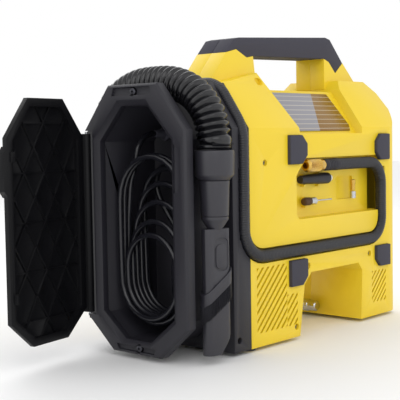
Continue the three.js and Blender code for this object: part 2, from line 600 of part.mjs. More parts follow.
// ---------- air hose, chuck and accessories ----------
class RoundedRoute extends THREE.CurvePath {
  // Straight runs through the points, each corner softened over its own reach.
  constructor(stops) {
    super();
    let from = new THREE.Vector3(...stops[0].at);
    for (let i = 1; i + 1 < stops.length; i += 1) {
      const corner = new THREE.Vector3(...stops[i].at);
      const behind = new THREE.Vector3(...stops[i - 1].at).sub(corner).normalize();
      const ahead = new THREE.Vector3(...stops[i + 1].at).sub(corner).normalize();
      const enter = corner.clone().addScaledVector(behind, stops[i].reach);
      const leave = corner.clone().addScaledVector(ahead, stops[i].reach);
      if (from.distanceTo(enter) > 0.01) this.add(new THREE.LineCurve3(from, enter));
      this.add(new THREE.CubicBezierCurve3(enter,
        enter.clone().lerp(corner, 0.56), leave.clone().lerp(corner, 0.56), leave));
      from = leave;
    }
    const last = new THREE.Vector3(...stops[stops.length - 1].at);
    this.add(new THREE.LineCurve3(from, last));
  }
}

function airHose() {
  const y = AIR_HOSE_Y;
  const { turnZ, topZ, topY } = ringCorners(HALF_DEPTH - y);
  const route = new RoundedRoute([
    { at: [55, -y, AIR_RUN_HIGH] },
    { at: [AIR_RUN_RIGHT, -y, AIR_RUN_HIGH], reach: AIR_BEND_R },
    { at: [AIR_RUN_RIGHT, -y, AIR_RUN_LOW], reach: AIR_BEND_R },
    { at: [AIR_HOSE_X, -y, AIR_RUN_LOW], reach: AIR_CORNER_R },
    { at: [AIR_HOSE_X, -y, turnZ], reach: 13 },
    { at: [AIR_HOSE_X, -topY, topZ], reach: 14 },
    { at: [AIR_HOSE_X, topY, topZ], reach: 14 },
    { at: [AIR_HOSE_X, y, turnZ], reach: 13 },
    { at: [AIR_HOSE_X, y, 52] },
  ]);
  piece('air_hose', swept(route, AIR_HOSE_OD / 2, 8, 72), rubber());
  const sleeve = turned('x', [29, -y, AIR_RUN_HIGH],
    [[0, 0], [4.8, 0], [6.2, 2], [6.8, 4], [6.8, 20], [7, 25.7], [0, 25.7]], 18);
  piece('air_hose_sleeve', sleeve, black());
}

function chuckAndAccessories() {
  const y = -AIR_HOSE_Y;
  const chuck = cut(
    turned('x', [-5, y, AIR_RUN_HIGH],
      [[0, 0], [5.4, 0], [6, 2], [7, 3], [7, 25], [6.2, 27.5], [6.2, 31], [4.8, 32], [4.8, 33.7],
        [0, 33.7]], 22),
    rod('x', y, AIR_RUN_HIGH, 3.4, -6, 9, 12));
  piece('chuck_nut', chuck, brass());
  const cone = turned('x', [-4, ACCESSORY_Y, CONE_Z],
    [[0, 0], [4.2, 0], [4.6, 2], [6.4, 44], [6.4, 52], [4.4, 52.4], [4.2, 58], [0, 58]], 18);
  piece('cone_nozzle', cone, black());
  const needle = turned('x', [2, ACCESSORY_Y, NEEDLE_Z],
    [[0, 0], [2.6, 0], [4.4, 2], [4.4, 12], [4.2, 13], [4.2, 22], [2.2, 24], [0.9, 25], [0.9, 55],
      [0, 56]], 14);
  piece('ball_needle', needle, brass());
  const adaptor = turned('z', [102, ACCESSORY_Y, 147],
    [[0, 0], [3.2, 0], [3.4, 1], [3.4, 8], [2.6, 9], [2.6, 16], [3, 17], [3, 22], [0, 22]], 14);
  piece('valve_adaptor', adaptor, brass());
}

// ---------- suction hose and wand ----------
function suctionHose() {
  const points = [[-HOSE_Y, 209.3], [-HOSE_Y, 216], [-HOSE_Y, 223], [-68, 246], [-50, 265], [-26, 275],
    [0, 277], [26, 275], [50, 265], [68, 246], [HOSE_Y, 223], [HOSE_Y, 180], [HOSE_Y, 140],
    [HOSE_Y, 112.3]];
  const route = new THREE.CatmullRomCurve3(points.map(([y, z]) => new THREE.Vector3(HOSE_X, y, z)));
  piece('suction_hose', swept(route, HOSE_OD / 2, 12, 40), rubber());
  const cuff = turned('z', [HOSE_X, HOSE_Y, 74.3],
    [[0, 0], [15, 0], [15, 6], [20, 9], [20, 36.5], [19, 37.7], [0, 37.7]], 24);
  piece('hose_port_cuff', cuff, black());
  const elbow = join(
    box(HOSE_X - 17, BLOCK_X0 - GAP, HOSE_Y - 17, HOSE_Y + 15, 30, 66),
    rod('z', HOSE_X, HOSE_Y, 16.5, 58, 74, 24));
  piece('hose_port_elbow', elbow, black());
}

// The nozzle's flat-oval section, turned a little about the wand.
function flatOval(width, thickness, grow = 0) {
  const r = thickness / 2 + grow;
  const reach = width / 2 - thickness / 2;
  return [...arc(reach, 0, r, -90, 90, 6), ...arc(-reach, 0, r, 90, 270, 6)];
}

function wand() {
  const tool = new THREE.Group();
  tool.position.set(HOSE_X, -HOSE_Y, 0);
  machine.add(tool);
  const cuff = turned('z', [0, 0, 180],
    [[0, 0], [15, 0], [19.4, 5], [20, 27], [19.4, 29], [0, 29]], 28);
  piece('wand_cuff', cuff, black(), tool);
  const tube = turned('z', [0, 0, 145 + GAP], [[0, 0], [13.6, 0], [14.8, 34.4], [0, 34.4]], 28);
  piece('wand_tube', tube, black(), tool);
  const head = new THREE.Group();
  head.rotation.z = NOZZLE_TWIST;
  tool.add(head);
  const neck = turned('z', [0, 0, 131], [[0, 0], [6, 0], [13.4, 11], [13.4, 14], [0, 14]], 28);
  const body = prism('z', flatOval(30, 13), 9.5, 133);
  const tipCut = prism('y', [[16, 4], [16, 31], [1, 9.4], [1, 4]], -12, 12);
  const duct = prism('z', flatOval(26, 9), 4, 100);
  const tongueSlot = cut(
    prism('y', roundedRect(-6, 11, 92, 124, 6), -8, -5.2),
    prism('y', roundedRect(-3.5, 8.5, 94, 118, 5), -9, -4));
  piece('crevice_nozzle', cut(join(neck, body), tipCut, duct, tongueSlot), black(), head);
  const wide = 34;
  const band = prism('y', [[-wide / 2, 57], [-wide / 2, 69], [wide / 2, 95], [wide / 2, 82]], -8.4, 8.4)
    .intersect(prism('z', flatOval(wide, 16.8), 40, 110));
  const bore = prism('z', flatOval(30, 13, GAP), 30, 130);
  piece('brush_collar', cut(band, bore), black(), head);
  const tuft = prism('y', [[-wide / 2, 40], [-wide / 2, 57 - 2 * GAP], [wide / 2, 82 - 2 * GAP],
    [wide / 2, 65]], -7.9, 7.9).intersect(prism('z', flatOval(wide - 1.4, 15.4), 30, 110));
  piece('brush_bristles', cut(tuft, bore), rubber(), head);
}

// ---------- power cord ----------
function powerCord() {
  const gland = turned('x', [DRUM_BACK_X - 22.3, 30, 226],
    [[0, 0], [3.6, 0], [5, 14], [7.5, 15], [7.5, 22], [0, 22]], 16);
  piece('cord_gland', gland, rubber());
  const route = new THREE.CatmullRomCurve3([
    [DRUM_BACK_X - 22.6, 30, 226], [-140, 30, 225.7], [-145.7, 30, 224.2], [-150, 30, 221.9],
    [-153.5, 30.2, 219], [-158.7, 30.8, 211.2], [-160.5, 31.7, 201]].map((p) => new THREE.Vector3(...p)));
  piece('power_cord', swept(route, CORD_D / 2, 8, 8), rubber());
  const oval = (r, low, high) => [...arc(0, high - r, r, 0, 180, 10), ...arc(0, low + r, r, 180, 360, 10)];
  const hole = prism('x', oval(COIL.half - COIL.band, COIL.low + COIL.band, COIL.holeTop),
    COIL.x0 - 1, COIL.x1 + 1);
  const hank = cut(prism('x', oval(COIL.half, COIL.low, COIL.high), COIL.x0, COIL.x1), hole);
  piece('cord_coil', hank, rubber());
  const plug = turned('z', [-127, 0, 26],
    [[0, 0], [4, 0], [4, 3], [10, 5], [10.5, 30], [12, 34], [12, 62], [8, 74], [4, 78], [0, 78]], 20);
  piece('power_plug', plug, black());
}

// ---------- control panel ----------
function controlPanel() {
  const y0 = HALF_DEPTH - PANEL.depth + GAP;
  const y1 = HALF_DEPTH + 1.5;
  const m = 0.4;
  const plate = prism('y', roundedRect(PANEL.x0 + m, PANEL.x1 - m, PANEL.z0 + m, PANEL.z1 - m, 7.6), y0, y1);
  const screen = { x0: 30, x1: 94, z0: 180, z1: 208 };
  const keys = [['key_minus', 35], ['key_power', 62], ['key_plus', 89]];
  const keyHoles = keys.map(([, x]) => rod('y', x, 162, 8.3, y0 - 1, y1 + 1, 20));
  const screenHole = box(screen.x0, screen.x1, y1 - 1.2, y1 + 1, screen.z0, screen.z1);
  const rockerHole = box(104, 118, y0 - 1, y1 + 1, 176, 204);
  piece('control_panel', cut(plate, screenHole, rockerHole, ...keyHoles), black());
  const glass = roundedRect(screen.x0 + m, screen.x1 - m, screen.z0 + m, screen.z1 - m, 1);
  piece('display_window', prism('y', glass, y1 - 0.9, y1 + 0.3), finish(0x1a2a30, 0.1));
  keys.forEach(([name, x]) => {
    const cap = turned('y', [x, y0 + 2.6, 162], [[0, 0], [8, 0], [8, 2.6], [7.2, 4], [0, 4.4]], 20);
    piece(name, cap, rubber());
  });
  const rocker = prism('x', [[y0 + 1.6, 177.5], [y0 + 1.6, 202.5], [y1 + 2.4, 202.5], [y1 + 0.6, 190],
    [y1 + 2.4, 177.5]], 104.6, 117.4);
  piece('mode_rocker', rocker, finish(0xb3261e, 0.4));
}

// ---------- dust cup and fan ----------
function dustSide() {
  const cup = cut(
    turned('y', [DUST.x, HALF_DEPTH - 28, DUST.z],
      [[0, 0], [24, 0], [26.4, 27], [26.4, 31], [24, 32.5], [0, 32.5]], 32),
    turned('y', [DUST.x, HALF_DEPTH - 29, DUST.z], [[0, 0], [22, 0], [24, 26], [0, 26]], 28));
  const grab = box(DUST.x - 20, DUST.x + 20, HALF_DEPTH + 3, HALF_DEPTH + 11, DUST.z - 4, DUST.z + 4);
  piece('dust_cup', join(cup, grab), finish(0x3a3a40, 0.35));
  const pleats = 18;
  const pleated = Array.from({ length: pleats * 2 }, (_, i) => {
    const a = (Math.PI * i) / pleats;
    const r = i % 2 ? 13 : 18;
    return [DUST.x + r * Math.cos(a), DUST.z + r * Math.sin(a)];
  });
  piece('dust_filter', prism('y', pleated, HALF_DEPTH - 27.6, HALF_DEPTH - 6), finish(0xf0efe8, 0.9));
  const fanY = HALF_DEPTH - 45;
  const scroll = cut(rod('y', DUST.x, DUST.z, 31, fanY - 4, HALF_DEPTH - 28.6, 28),
    rod('y', DUST.x, DUST.z, 27, fanY - 1, HALF_DEPTH - 32, 28),
    rod('y', DUST.x, DUST.z, 12, fanY - 5, HALF_DEPTH, 20));
  piece('fan_scroll', scroll, black());
  const blades = Array.from({ length: 7 }, (_, i) => {
    const a = (2 * Math.PI * i) / 7;
    const [c, s] = [Math.cos(a), Math.sin(a)];
    const at = (r, w) => [DUST.x + r * c - w * s, DUST.z + r * s + w * c];
    return prism('y', [at(5, -1), at(24, 5), at(24, 6.6), at(5, 1)], fanY + 1, fanY + 8);
  });
  const disc = rod('y', DUST.x, DUST.z, 25, fanY - 0.4, fanY + 1.4, 28);
  const hub = rod('y', DUST.x, DUST.z, 6, fanY - 6, fanY + 9, 14);
  const shaftHole = rod('y', DUST.x, DUST.z, 1.7, fanY - 7, fanY + 10, 10);
  piece('fan_impeller', cut(join(disc, hub, ...blades), shaftHole), black());
  const motor = join(
    rod('y', DUST.x, DUST.z, 22, fanY - 62, fanY - 7, 24),
    rod('y', DUST.x, DUST.z, 1.4, fanY - 8, fanY + 6, 8));
  piece('fan_motor', motor, steel());
}

// ---------- compressor ----------
function gearOutline(teeth, cy, cz, phase) {
  const pitchR = (TOOTH * teeth) / 2;
  const tip = pitchR + TOOTH * 0.8;
  const rootR = pitchR - TOOTH * 1.15;
  const points = [];
  for (let i = 0; i < teeth; i += 1) {
    const a = phase + (2 * Math.PI * i) / teeth;
    const step = Math.PI / teeth;
    [[-0.62, rootR], [-0.22, tip], [0.22, tip], [0.62, rootR]].forEach(([k, r]) => {
      points.push([cy + r * Math.cos(a + k * step), cz + r * Math.sin(a + k * step)]);
    });
  }
  return points;
}

function compressor() {
  const cy = 8;
  const motorZ = 112;
  const wheelZ = motorZ + (TOOTH * (PINION_TEETH + WHEEL_TEETH)) / 2;
  const faceX = 84;
  const motor = join(
    rod('x', cy, motorZ, 20, 8, faceX - 6, 24),
    rod('x', cy, motorZ, SHAFT_R, faceX - 7, faceX + 14, 10));
  piece('compressor_motor', motor, steel());
  const bracket = cut(
    join(box(faceX - 5.5, faceX - 1.5, cy - 22, cy + 22, motorZ - 24, 196),
      box(faceX - 5.5, 120, cy - 22, cy + 22, 192, 196)),
    rod('x', cy, motorZ, 6.5, faceX - 7, faceX, 16),
    rod('x', cy, wheelZ, 2.4, faceX - 7, faceX, 12),
    rod('z', 104, cy, 13.6, 190, 198, 24));
  piece('compressor_bracket', bracket, finish(0x9a9ca0, 0.4, 1));
  const pinion = cut(prism('x', gearOutline(PINION_TEETH, cy, motorZ, Math.PI / 2), faceX + 1, faceX + 9),
    rod('x', cy, motorZ, SHAFT_R / Math.cos(Math.PI / 10) + 0.1, faceX, faceX + 10, 10));
  piece('motor_pinion', pinion, brass());
  const gap = Math.PI / WHEEL_TEETH;
  const wheel = join(
    prism('x', gearOutline(WHEEL_TEETH, cy, wheelZ, -Math.PI / 2 + gap), faceX + 2, faceX + 8),
    rod('x', cy, wheelZ, 2.2, faceX - 6, faceX + 3, 12),
    rod('x', cy, wheelZ, 7, faceX - 1, faceX + 9, 16),
    rod('x', cy + 7.5, wheelZ, 2.5, faceX + 7, faceX + 14, 12));
  piece('crank_wheel', wheel, steel());
  const pistonZ = 206;
  const link = cut(
    join(box(faceX + 16, faceX + 22, cy - 3.4, cy + 3.4, wheelZ, pistonZ - 3),
      rod('x', cy, wheelZ, 6, faceX + 15, faceX + 23, 18),
      rod('x', cy, pistonZ - 3, 4.6, faceX + 16.5, faceX + 22, 16)),
    rod('x', cy, wheelZ, 3, faceX + 14, faceX + 24, 14),
    rod('x', cy, pistonZ - 3, 2.1, faceX + 14, faceX + 24, 12));
  piece('connecting_rod', link, finish(0xa9abae, 0.4, 1));
  const pistonX = 104;
  const crown = rod('z', pistonX, cy, 12.9, pistonZ - 9, pistonZ + 6, 24);
  const slot = box(faceX + 15.5, faceX + 23, cy - 8, cy + 8, pistonZ - 10, pistonZ + 2.6);
  const pin = rod('x', cy, pistonZ - 3, 2, faceX + 12, faceX + 26, 12);
  piece('piston', join(cut(crown, slot), pin), finish(0x8d8f94, 0.4, 1));
  const sleeve = cut(rod('z', pistonX, cy, 17, 196.3, 232, 24), rod('z', pistonX, cy, 13.2, 190, 236, 24));
  piece('cylinder', sleeve, finish(0x9a9ca0, 0.4, 1));
  const head = join(
    rod('z', pistonX, cy, 17, 232.3, 242, 24),
    rod('x', cy, 238, 3, pistonX, pistonX + 24, 12));
  piece('cylinder_head', head, finish(0x8a8c90, 0.4, 1));
}

function electronics() {
  const board = prism('y', roundedRect(6, 122, 150, 212, 3, 2), 60, 61.6);
  piece('circuit_board', board, finish(0x1f5a38, 0.6));
}

// Bright round fitting that lies across the notch in the right leg's inner wall.
function legFitting() {
  const axisZ = 15;
  const fitting = turned('y', [LEG_RIGHT - 8, -16, axisZ],
    [[0, 0], [5, 0], [6.4, 1.5], [6.4, 11], [7.4, 12], [7.4, 20], [6.4, 21], [6.4, 30.5], [5, 32],
      [0, 32]], 22);
  const stem = rod('x', 0, axisZ, 4.5, LEG_RIGHT - 8, LEG_RIGHT - GAP, 14);
  piece('air_outlet_fitting', join(fitting, stem), steel());
}

shells();
handleGrip();
piece('end_housing', endHousing(), black());
piece('compartment_frame', compartmentFrame(), black());
compartmentDoor();
feet();
airHose();
chuckAndAccessories();
suctionHose();
wand();
powerCord();
controlPanel();
dustSide();
compressor();
electronics();
legFitting();

export default root;
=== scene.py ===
"""A portable corded tyre inflator and car vacuum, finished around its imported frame."""
import json
import math

import bmesh
import bpy
from bpy.props import FloatProperty, FloatVectorProperty, PointerProperty
from mathutils import Matrix, Vector


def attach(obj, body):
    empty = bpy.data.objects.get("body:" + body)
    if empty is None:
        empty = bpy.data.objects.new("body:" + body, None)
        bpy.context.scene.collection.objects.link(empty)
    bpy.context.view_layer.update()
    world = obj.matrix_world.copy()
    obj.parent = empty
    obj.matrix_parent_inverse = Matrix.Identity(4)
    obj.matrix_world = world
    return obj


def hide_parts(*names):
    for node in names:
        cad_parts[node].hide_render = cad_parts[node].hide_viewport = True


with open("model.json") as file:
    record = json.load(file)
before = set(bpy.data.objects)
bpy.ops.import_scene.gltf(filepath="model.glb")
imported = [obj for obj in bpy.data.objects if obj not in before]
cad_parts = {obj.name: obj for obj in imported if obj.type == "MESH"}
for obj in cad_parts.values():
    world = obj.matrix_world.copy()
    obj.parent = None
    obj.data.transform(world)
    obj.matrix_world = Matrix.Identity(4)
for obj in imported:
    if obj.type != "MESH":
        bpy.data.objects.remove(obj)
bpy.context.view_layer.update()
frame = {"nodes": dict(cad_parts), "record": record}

bl_info = {
    "name": "Tyre Inflator and Vacuum",
    "version": (1, 0, 0),
    "blender": (4, 5, 0),
    "location": "3D View > Sidebar > Inflator",
    "description": "Builds a corded tyre inflator with a wound suction hose and its finishes",
    "category": "Add Mesh",
}

MM = 0.001
SHIFT_X = 63.55  # the frame's zero along X stands this far from the machine's own zero
BODY_OF = {node: body for body, nodes in frame["record"]["behaviour"]["bodies"].items() for node in nodes}

# Lengths are millimetres of the machine, save where a name ends in _M for metres.
HOSE_X, HOSE_Y = -161, 75  # where the suction hose stands, and how far out its two legs are
AIR_HOSE_Y, AIR_RUN_HIGH = 72, 188.5  # how far out the air hose lies, and its upper run
COIL_Z = 118  # middle of the wound cord
TRAY_Y = -63.8  # middle of what lies in the tray
CORE = 0.1  # radius at which a turned piece closes on its axis


def place(x, y, z):
    """A point of the machine, in millimetres, as a point of the frame in metres."""
    return Vector(((x + SHIFT_X) * MM, y * MM, z * MM))


def linear(code):
    """An sRGB hex value as linear colour."""
    values = [int(code[i:i + 2], 16) / 255 for i in (0, 2, 4)]
    return tuple(v / 12.92 if v <= 0.04045 else ((v + 0.055) / 1.055) ** 2.4 for v in values)


# ---------- what a user would change ----------
class InflatorSizes(bpy.types.PropertyGroup):
    """Sizes of the flexible and repeated pieces."""
    cord_length: FloatProperty(name="Cord length", description="Whole length of the power cord",
                               default=3.0, unit="LENGTH")
    cord_diameter: FloatProperty(name="Cord diameter", description="Outside of the cord's sheath",
                                 default=0.006, unit="LENGTH")
    hose_diameter: FloatProperty(name="Suction hose", description="Outside of the suction hose's rings",
                                 default=0.034, unit="LENGTH")
    hose_pitch: FloatProperty(name="Ring pitch", description="From one ring of the suction hose to the next",
                              default=0.0066, unit="LENGTH")
    hose_depth: FloatProperty(name="Ring depth", description="Height of the suction hose's rings",
                              default=0.0032, unit="LENGTH")
    air_hose_diameter: FloatProperty(name="Air hose", description="Outside of the air hose",
                                     default=0.0135, unit="LENGTH")
    bristle_length: FloatProperty(name="Bristle length", description="How far the brush stands out",
                                  default=0.0168, unit="LENGTH")


class InflatorColours(bpy.types.PropertyGroup):
    """Colours of the mouldings."""
    body: FloatVectorProperty(name="Body", description="Yellow of the two shells", subtype="COLOR",
                              default=linear("EBCB22"))
    housing: FloatVectorProperty(name="Housing", description="Black of the end housing and the frame",
                                 subtype="COLOR", default=linear("232229"))
    rubber: FloatVectorProperty(name="Rubber", description="Bumpers and grip", subtype="COLOR",
                                default=linear("3E3D47"))


# ---------- materials ----------
def add_node(tree, kind, settings=None, **links):
    """One node, with its own properties or its inputs' values from settings, and inputs joined by links."""
    node = tree.nodes.new(kind)
    for name, value in (settings or {}).items():
        if isinstance(name, int) or name in node.inputs:
            node.inputs[name].default_value = value
        else:
            setattr(node, name, value)
    for name, source in links.items():
        tree.links.new(source, node.inputs[name.replace("_", " ")])
    return node


def calculate(tree, operation, *values):
    """One arithmetic node; each value is a number or another node's output. Gives the node's output."""
    node = add_node(tree, "ShaderNodeMath", {"operation": operation})
    for socket, value in zip(node.inputs, values):
        if isinstance(value, (int, float)):
            socket.default_value = value
        else:
            tree.links.new(value, socket)
    return node.outputs[0]


MIX_A, MIX_B, MIX_RESULT = 6, 7, 2  # a Mix node's colour sockets
PATCH_M = 0.06  # size of the slow drift of colour
RELIEF_M = 0.0004
ROUGHNESS_DRIFT = 0.07  # either way
SMOOTHEST = 0.03


def surface(name, colour, roughness, metallic=0.0, grain_mm=1.2, grain=0.12, mottle=0.06, **shader):
    """A surface whose roughness and relief come from a grain of a real size, and whose colour drifts."""
    material = bpy.data.materials.new(name)
    material.use_nodes = True
    tree = material.node_tree
    tree.nodes.clear()
    seat = add_node(tree, "ShaderNodeTexCoord").outputs["Object"]
    fine = add_node(tree, "ShaderNodeTexNoise", {"Scale": 1 / (grain_mm * MM), "Detail": 3.0}, Vector=seat)
    broad = add_node(tree, "ShaderNodeTexNoise", {"Scale": 1 / PATCH_M, "Detail": 2.0}, Vector=seat)
    tone = add_node(tree, "ShaderNodeMix", {"data_type": "RGBA"})
    tone.inputs[MIX_A].default_value = (*(c * (1 - mottle) for c in colour[:3]), 1)
    tone.inputs[MIX_B].default_value = (*colour[:3], 1)
    tree.links.new(broad.outputs["Fac"], tone.inputs[0])
    rough = add_node(tree, "ShaderNodeMapRange",
                     {"To Min": max(roughness - ROUGHNESS_DRIFT, SMOOTHEST),
                      "To Max": min(roughness + ROUGHNESS_DRIFT, 1.0)}, Value=fine.outputs["Fac"])
    bump = add_node(tree, "ShaderNodeBump", {"Strength": grain, "Distance": RELIEF_M},
                    Height=fine.outputs["Fac"])
    bsdf = add_node(tree, "ShaderNodeBsdfPrincipled", {"Metallic": metallic, **shader})
    tree.links.new(tone.outputs[MIX_RESULT], bsdf.inputs["Base Color"])
    tree.links.new(rough.outputs["Result"], bsdf.inputs["Roughness"])
    tree.links.new(bump.outputs["Normal"], bsdf.inputs["Normal"])
    add_node(tree, "ShaderNodeOutputMaterial", Surface=bsdf.outputs["BSDF"])
    return material


def cached(build):
    """Builds a material once and gives the same one afterwards."""
    made = []

    def get():
        if not made:
            made.append(build())
        return made[0]
    return get


@cached
def yellow_abs():
    # Moulded ABS with a fine spark texture: satin, a soft highlight and no mirror image.
    return surface("yellow_abs_moulded", bpy.context.scene.inflator_colours.body, 0.42, grain_mm=1.0,
                   grain=0.10, mottle=0.04, IOR=1.53)


@cached
def black_abs():
    # Moulded black ABS, spark-eroded, drawn as 1.4 mm so that the grain still shows.
    return surface("black_abs_textured", bpy.context.scene.inflator_colours.housing, 0.5, grain_mm=1.4,
                   grain=0.32, mottle=0.15, IOR=1.53, **{"Specular IOR Level": 0.36})


@cached
def wand_abs():
    # Moulded black ABS, finely blasted and handled: a shade lighter, with a soft sheen down its side.
    return surface("black_abs_satin", linear("2B2A31"), 0.42, grain_mm=0.9, grain=0.1, mottle=0.1, IOR=1.53)


@cached
def door_abs_painted_shade():
    # Same moulding with painted shade: its colour and specular level are set darker for the door, which lies
    # in shade; a little smoother.
    return surface("black_abs_door_painted_shade", linear("0C0C0F"), 0.46, grain_mm=1.6, grain=0.2, mottle=0.18,
                   IOR=1.53, **{"Specular IOR Level": 0.16})


@cached
def soft_tpe():
    # Overmoulded thermoplastic rubber: dry, matt, with a faint sheen where it turns away.
    return surface("soft_tpe", bpy.context.scene.inflator_colours.rubber, 0.78, grain_mm=0.9, grain=0.35,
                   mottle=0.12, IOR=1.5, **{"Specular IOR Level": 0.4})


@cached
def hose_rubber():
    # Extruded rubber, wiped clean: one soft bright line runs along its crown.
    return surface("extruded_rubber", linear("1F1F25"), 0.38, grain_mm=0.8, grain=0.12, mottle=0.15, IOR=1.5)


@cached
def hose_polyethylene():
    # Blow-moulded polyethylene: the rings catch a sharp bright line each.
    return surface("blown_polyethylene", linear("121216"), 0.22, grain_mm=3.0, grain=0.03, mottle=0.2,
                   IOR=1.51)


@cached
def cable_pvc():
    # Extruded PVC sheath, polished by the die: a bright narrow line along every loop.
    return surface("cable_pvc", linear("1B1B21"), 0.24, grain_mm=2.0, grain=0.06, mottle=0.2, IOR=1.52)


@cached
def nylon_bristle():
    # Extruded nylon filament: each bristle catches its own thin light, so the tuft looks streaked.
    return surface("nylon_bristle", linear("2A2A30"), 0.5, grain_mm=2.0, grain=0.05, mottle=0.3, IOR=1.53)


@cached
def turned_brass():
    # Turned brass, lightly lacquered: warm, with a bright broken line along the knurl.
    return surface("turned_brass", linear("D9B25C"), 0.27, 1.0, grain_mm=0.8, grain=0.12, mottle=0.12)


@cached
def nickel():
    # Bright nickel plating: cool, and nearly as clear as a mirror.
    return surface("nickel_plated", linear("C9CACC"), 0.18, 1.0, grain_mm=2.0, grain=0.03, mottle=0.06)


@cached
def bare_steel():
    # Machined steel left bare, oiled: grey with a blurred reflection.
    return surface("bare_steel", linear("A3A5A8"), 0.34, 1.0, grain_mm=0.7, grain=0.1, mottle=0.12)


@cached
def cast_aluminium():
    # Die-cast aluminium, blasted: an even dull grey with no clear reflection.
    return surface("cast_aluminium", linear("A7A9AC"), 0.5, 1.0, grain_mm=0.9, grain=0.35, mottle=0.1)


@cached
def ivory_plastic():
    # Moulded acetal in its natural colour: off-white and waxy.
    return surface("ivory_plastic", linear("DAD8D0"), 0.45, grain_mm=1.5, grain=0.05, mottle=0.05, IOR=1.5)


@cached
def tan_rubber():
    # Moulded brown rubber: dull, darker than the brass beside it.
    return surface("tan_rubber", linear("4A3016"), 0.7, grain_mm=0.8, grain=0.2, mottle=0.15, IOR=1.5)


@cached
def red_plastic():
    # Moulded red ABS: even colour, a small soft highlight.
    return surface("red_plastic", linear("B4231C"), 0.35, grain_mm=1.5, grain=0.04, mottle=0.06, IOR=1.5)


@cached
def smoked_plastic():
    # Moulded dark polycarbonate, polished tool: deep and glossy.
    return surface("smoked_plastic", linear("26262C"), 0.2, grain_mm=3.0, grain=0.02, mottle=0.1, IOR=1.5)


@cached
def display_glass():
    # Cast acrylic window over an unlit display: near black, mirror clear.
    return surface("display_acrylic", linear("0A1418"), 0.08, grain_mm=4.0, grain=0.01, mottle=0.1, IOR=1.49)


@cached
def pleated_paper():
    # Resin-treated filter paper: fibrous, off-white and fully matt.
    return surface("filter_paper", linear("E6E2D6"), 0.9, grain_mm=0.5, grain=0.4, mottle=0.06, IOR=1.45)


@cached
def board_laminate():
    # Glass-epoxy laminate under solder resist: green, slightly glossy.
    return surface("glass_epoxy_board", linear("1E5A38"), 0.4, grain_mm=1.2, grain=0.06, mottle=0.2, IOR=1.55)


@cached
def blackened_steel():
    # Screws with a black oxide finish: dark, with a thin grey glint on the edges of the cross.
    return surface("blackened_steel", linear("4A4A50"), 0.34, 1.0, grain_mm=0.7, grain=0.1, mottle=0.2)


LABEL_LEAN = 0.55  # how far the slanted edge runs along X for its height
LABEL_EDGE_X, LABEL_EDGE_Z_M = 44, 0.24  # a point on that edge
RULE_PITCH_M, RULE_SHARE, RULE_STRENGTH = 0.0052, 0.12, 0.5


def mixed(tree, share, first, colour):
    """What one node gives, first, giving way to a colour by a share."""
    node = add_node(tree, "ShaderNodeMix", {"data_type": "RGBA"})
    node.inputs[MIX_B].default_value = (*colour, 1)
    tree.links.new(share, node.inputs[0])
    tree.links.new(first, node.inputs[MIX_A])
    return node.outputs[MIX_RESULT]


@cached
def printed_polyester():
    # A satin printed sticker: a dark warm field, a grey field cut off on a slant, and thin pale rules.
    material = surface("printed_polyester", linear("85601A"), 0.34, grain_mm=2.0, grain=0.02, mottle=0.08,
                       IOR=1.5)
    tree = material.node_tree
    bsdf = next(n for n in tree.nodes if n.type == "BSDF_PRINCIPLED")
    warm = bsdf.inputs["Base Color"].links[0].from_socket
    seat = add_node(tree, "ShaderNodeTexCoord").outputs["Object"]
    split = add_node(tree, "ShaderNodeSeparateXYZ", Vector=seat)
    leaning = calculate(tree, "MULTIPLY_ADD", split.outputs["Z"], -LABEL_LEAN, split.outputs["X"])
    field = calculate(tree, "LESS_THAN", leaning, (LABEL_EDGE_X + SHIFT_X) * MM - LABEL_LEAN * LABEL_EDGE_Z_M)
    rows = calculate(tree, "FRACT", calculate(tree, "MULTIPLY", split.outputs["Z"], 1 / RULE_PITCH_M))
    rule = calculate(tree, "MULTIPLY", calculate(tree, "LESS_THAN", rows, RULE_SHARE), RULE_STRENGTH)
    final = mixed(tree, rule, mixed(tree, field, warm, linear("8B8A90")), linear("DCD3C0"))
    tree.links.new(final, bsdf.inputs["Base Color"])
    return material


# ---------- mesh work ----------
SMOOTH_BELOW = math.radians(38)


def finish_piece(obj, body, material):
    """Shades a piece, gives it its material and lets it ride on its body."""
    obj.data.materials.clear()
    obj.data.materials.append(material)
    obj.data.shade_smooth()
    obj.data.set_sharp_from_angle(angle=SMOOTH_BELOW)
    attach(obj, body)
    return obj


def new_object(name, data):
    """A new object of the scene, at the origin."""
    obj = bpy.data.objects.new(name, data)
    bpy.context.scene.collection.objects.link(obj)
    return obj


def as_plain_mesh(obj, name):
    """Turns an object with live modifiers into a plain mesh object of the given name."""
    graph = bpy.context.evaluated_depsgraph_get()
    graph.update()
    mesh = bpy.data.meshes.new_from_object(obj.evaluated_get(graph))
    bpy.data.objects.remove(obj)
    mesh.name = name
    return new_object(name, mesh)


WELD_M = 1e-5  # vertices nearer than this are one
FLAT_BELOW = math.radians(0.6)
EDGE_ABOVE = math.radians(30)


def softened(node, width_mm, material, segments=2):
    """A copy of a CAD node with rounded edges, standing for it."""
    source = frame["nodes"][node]
    build = bmesh.new()
    build.from_mesh(source.data)
    bmesh.ops.remove_doubles(build, verts=build.verts, dist=WELD_M)
    bmesh.ops.dissolve_limit(build, angle_limit=FLAT_BELOW, verts=build.verts, edges=build.edges)
    mesh = bpy.data.meshes.new(node + "_skin")
    build.to_mesh(mesh)
    build.free()
    draft = new_object(node + "_draft", mesh)
    bevel = draft.modifiers.new("edges", "BEVEL")
    bevel.width = width_mm * MM
    bevel.segments = segments
    bevel.limit_method = "ANGLE"
    bevel.angle_limit = EDGE_ABOVE
    obj = as_plain_mesh(draft, node + "_skin")
    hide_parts(node)
    return finish_piece(obj, BODY_OF[node], material())


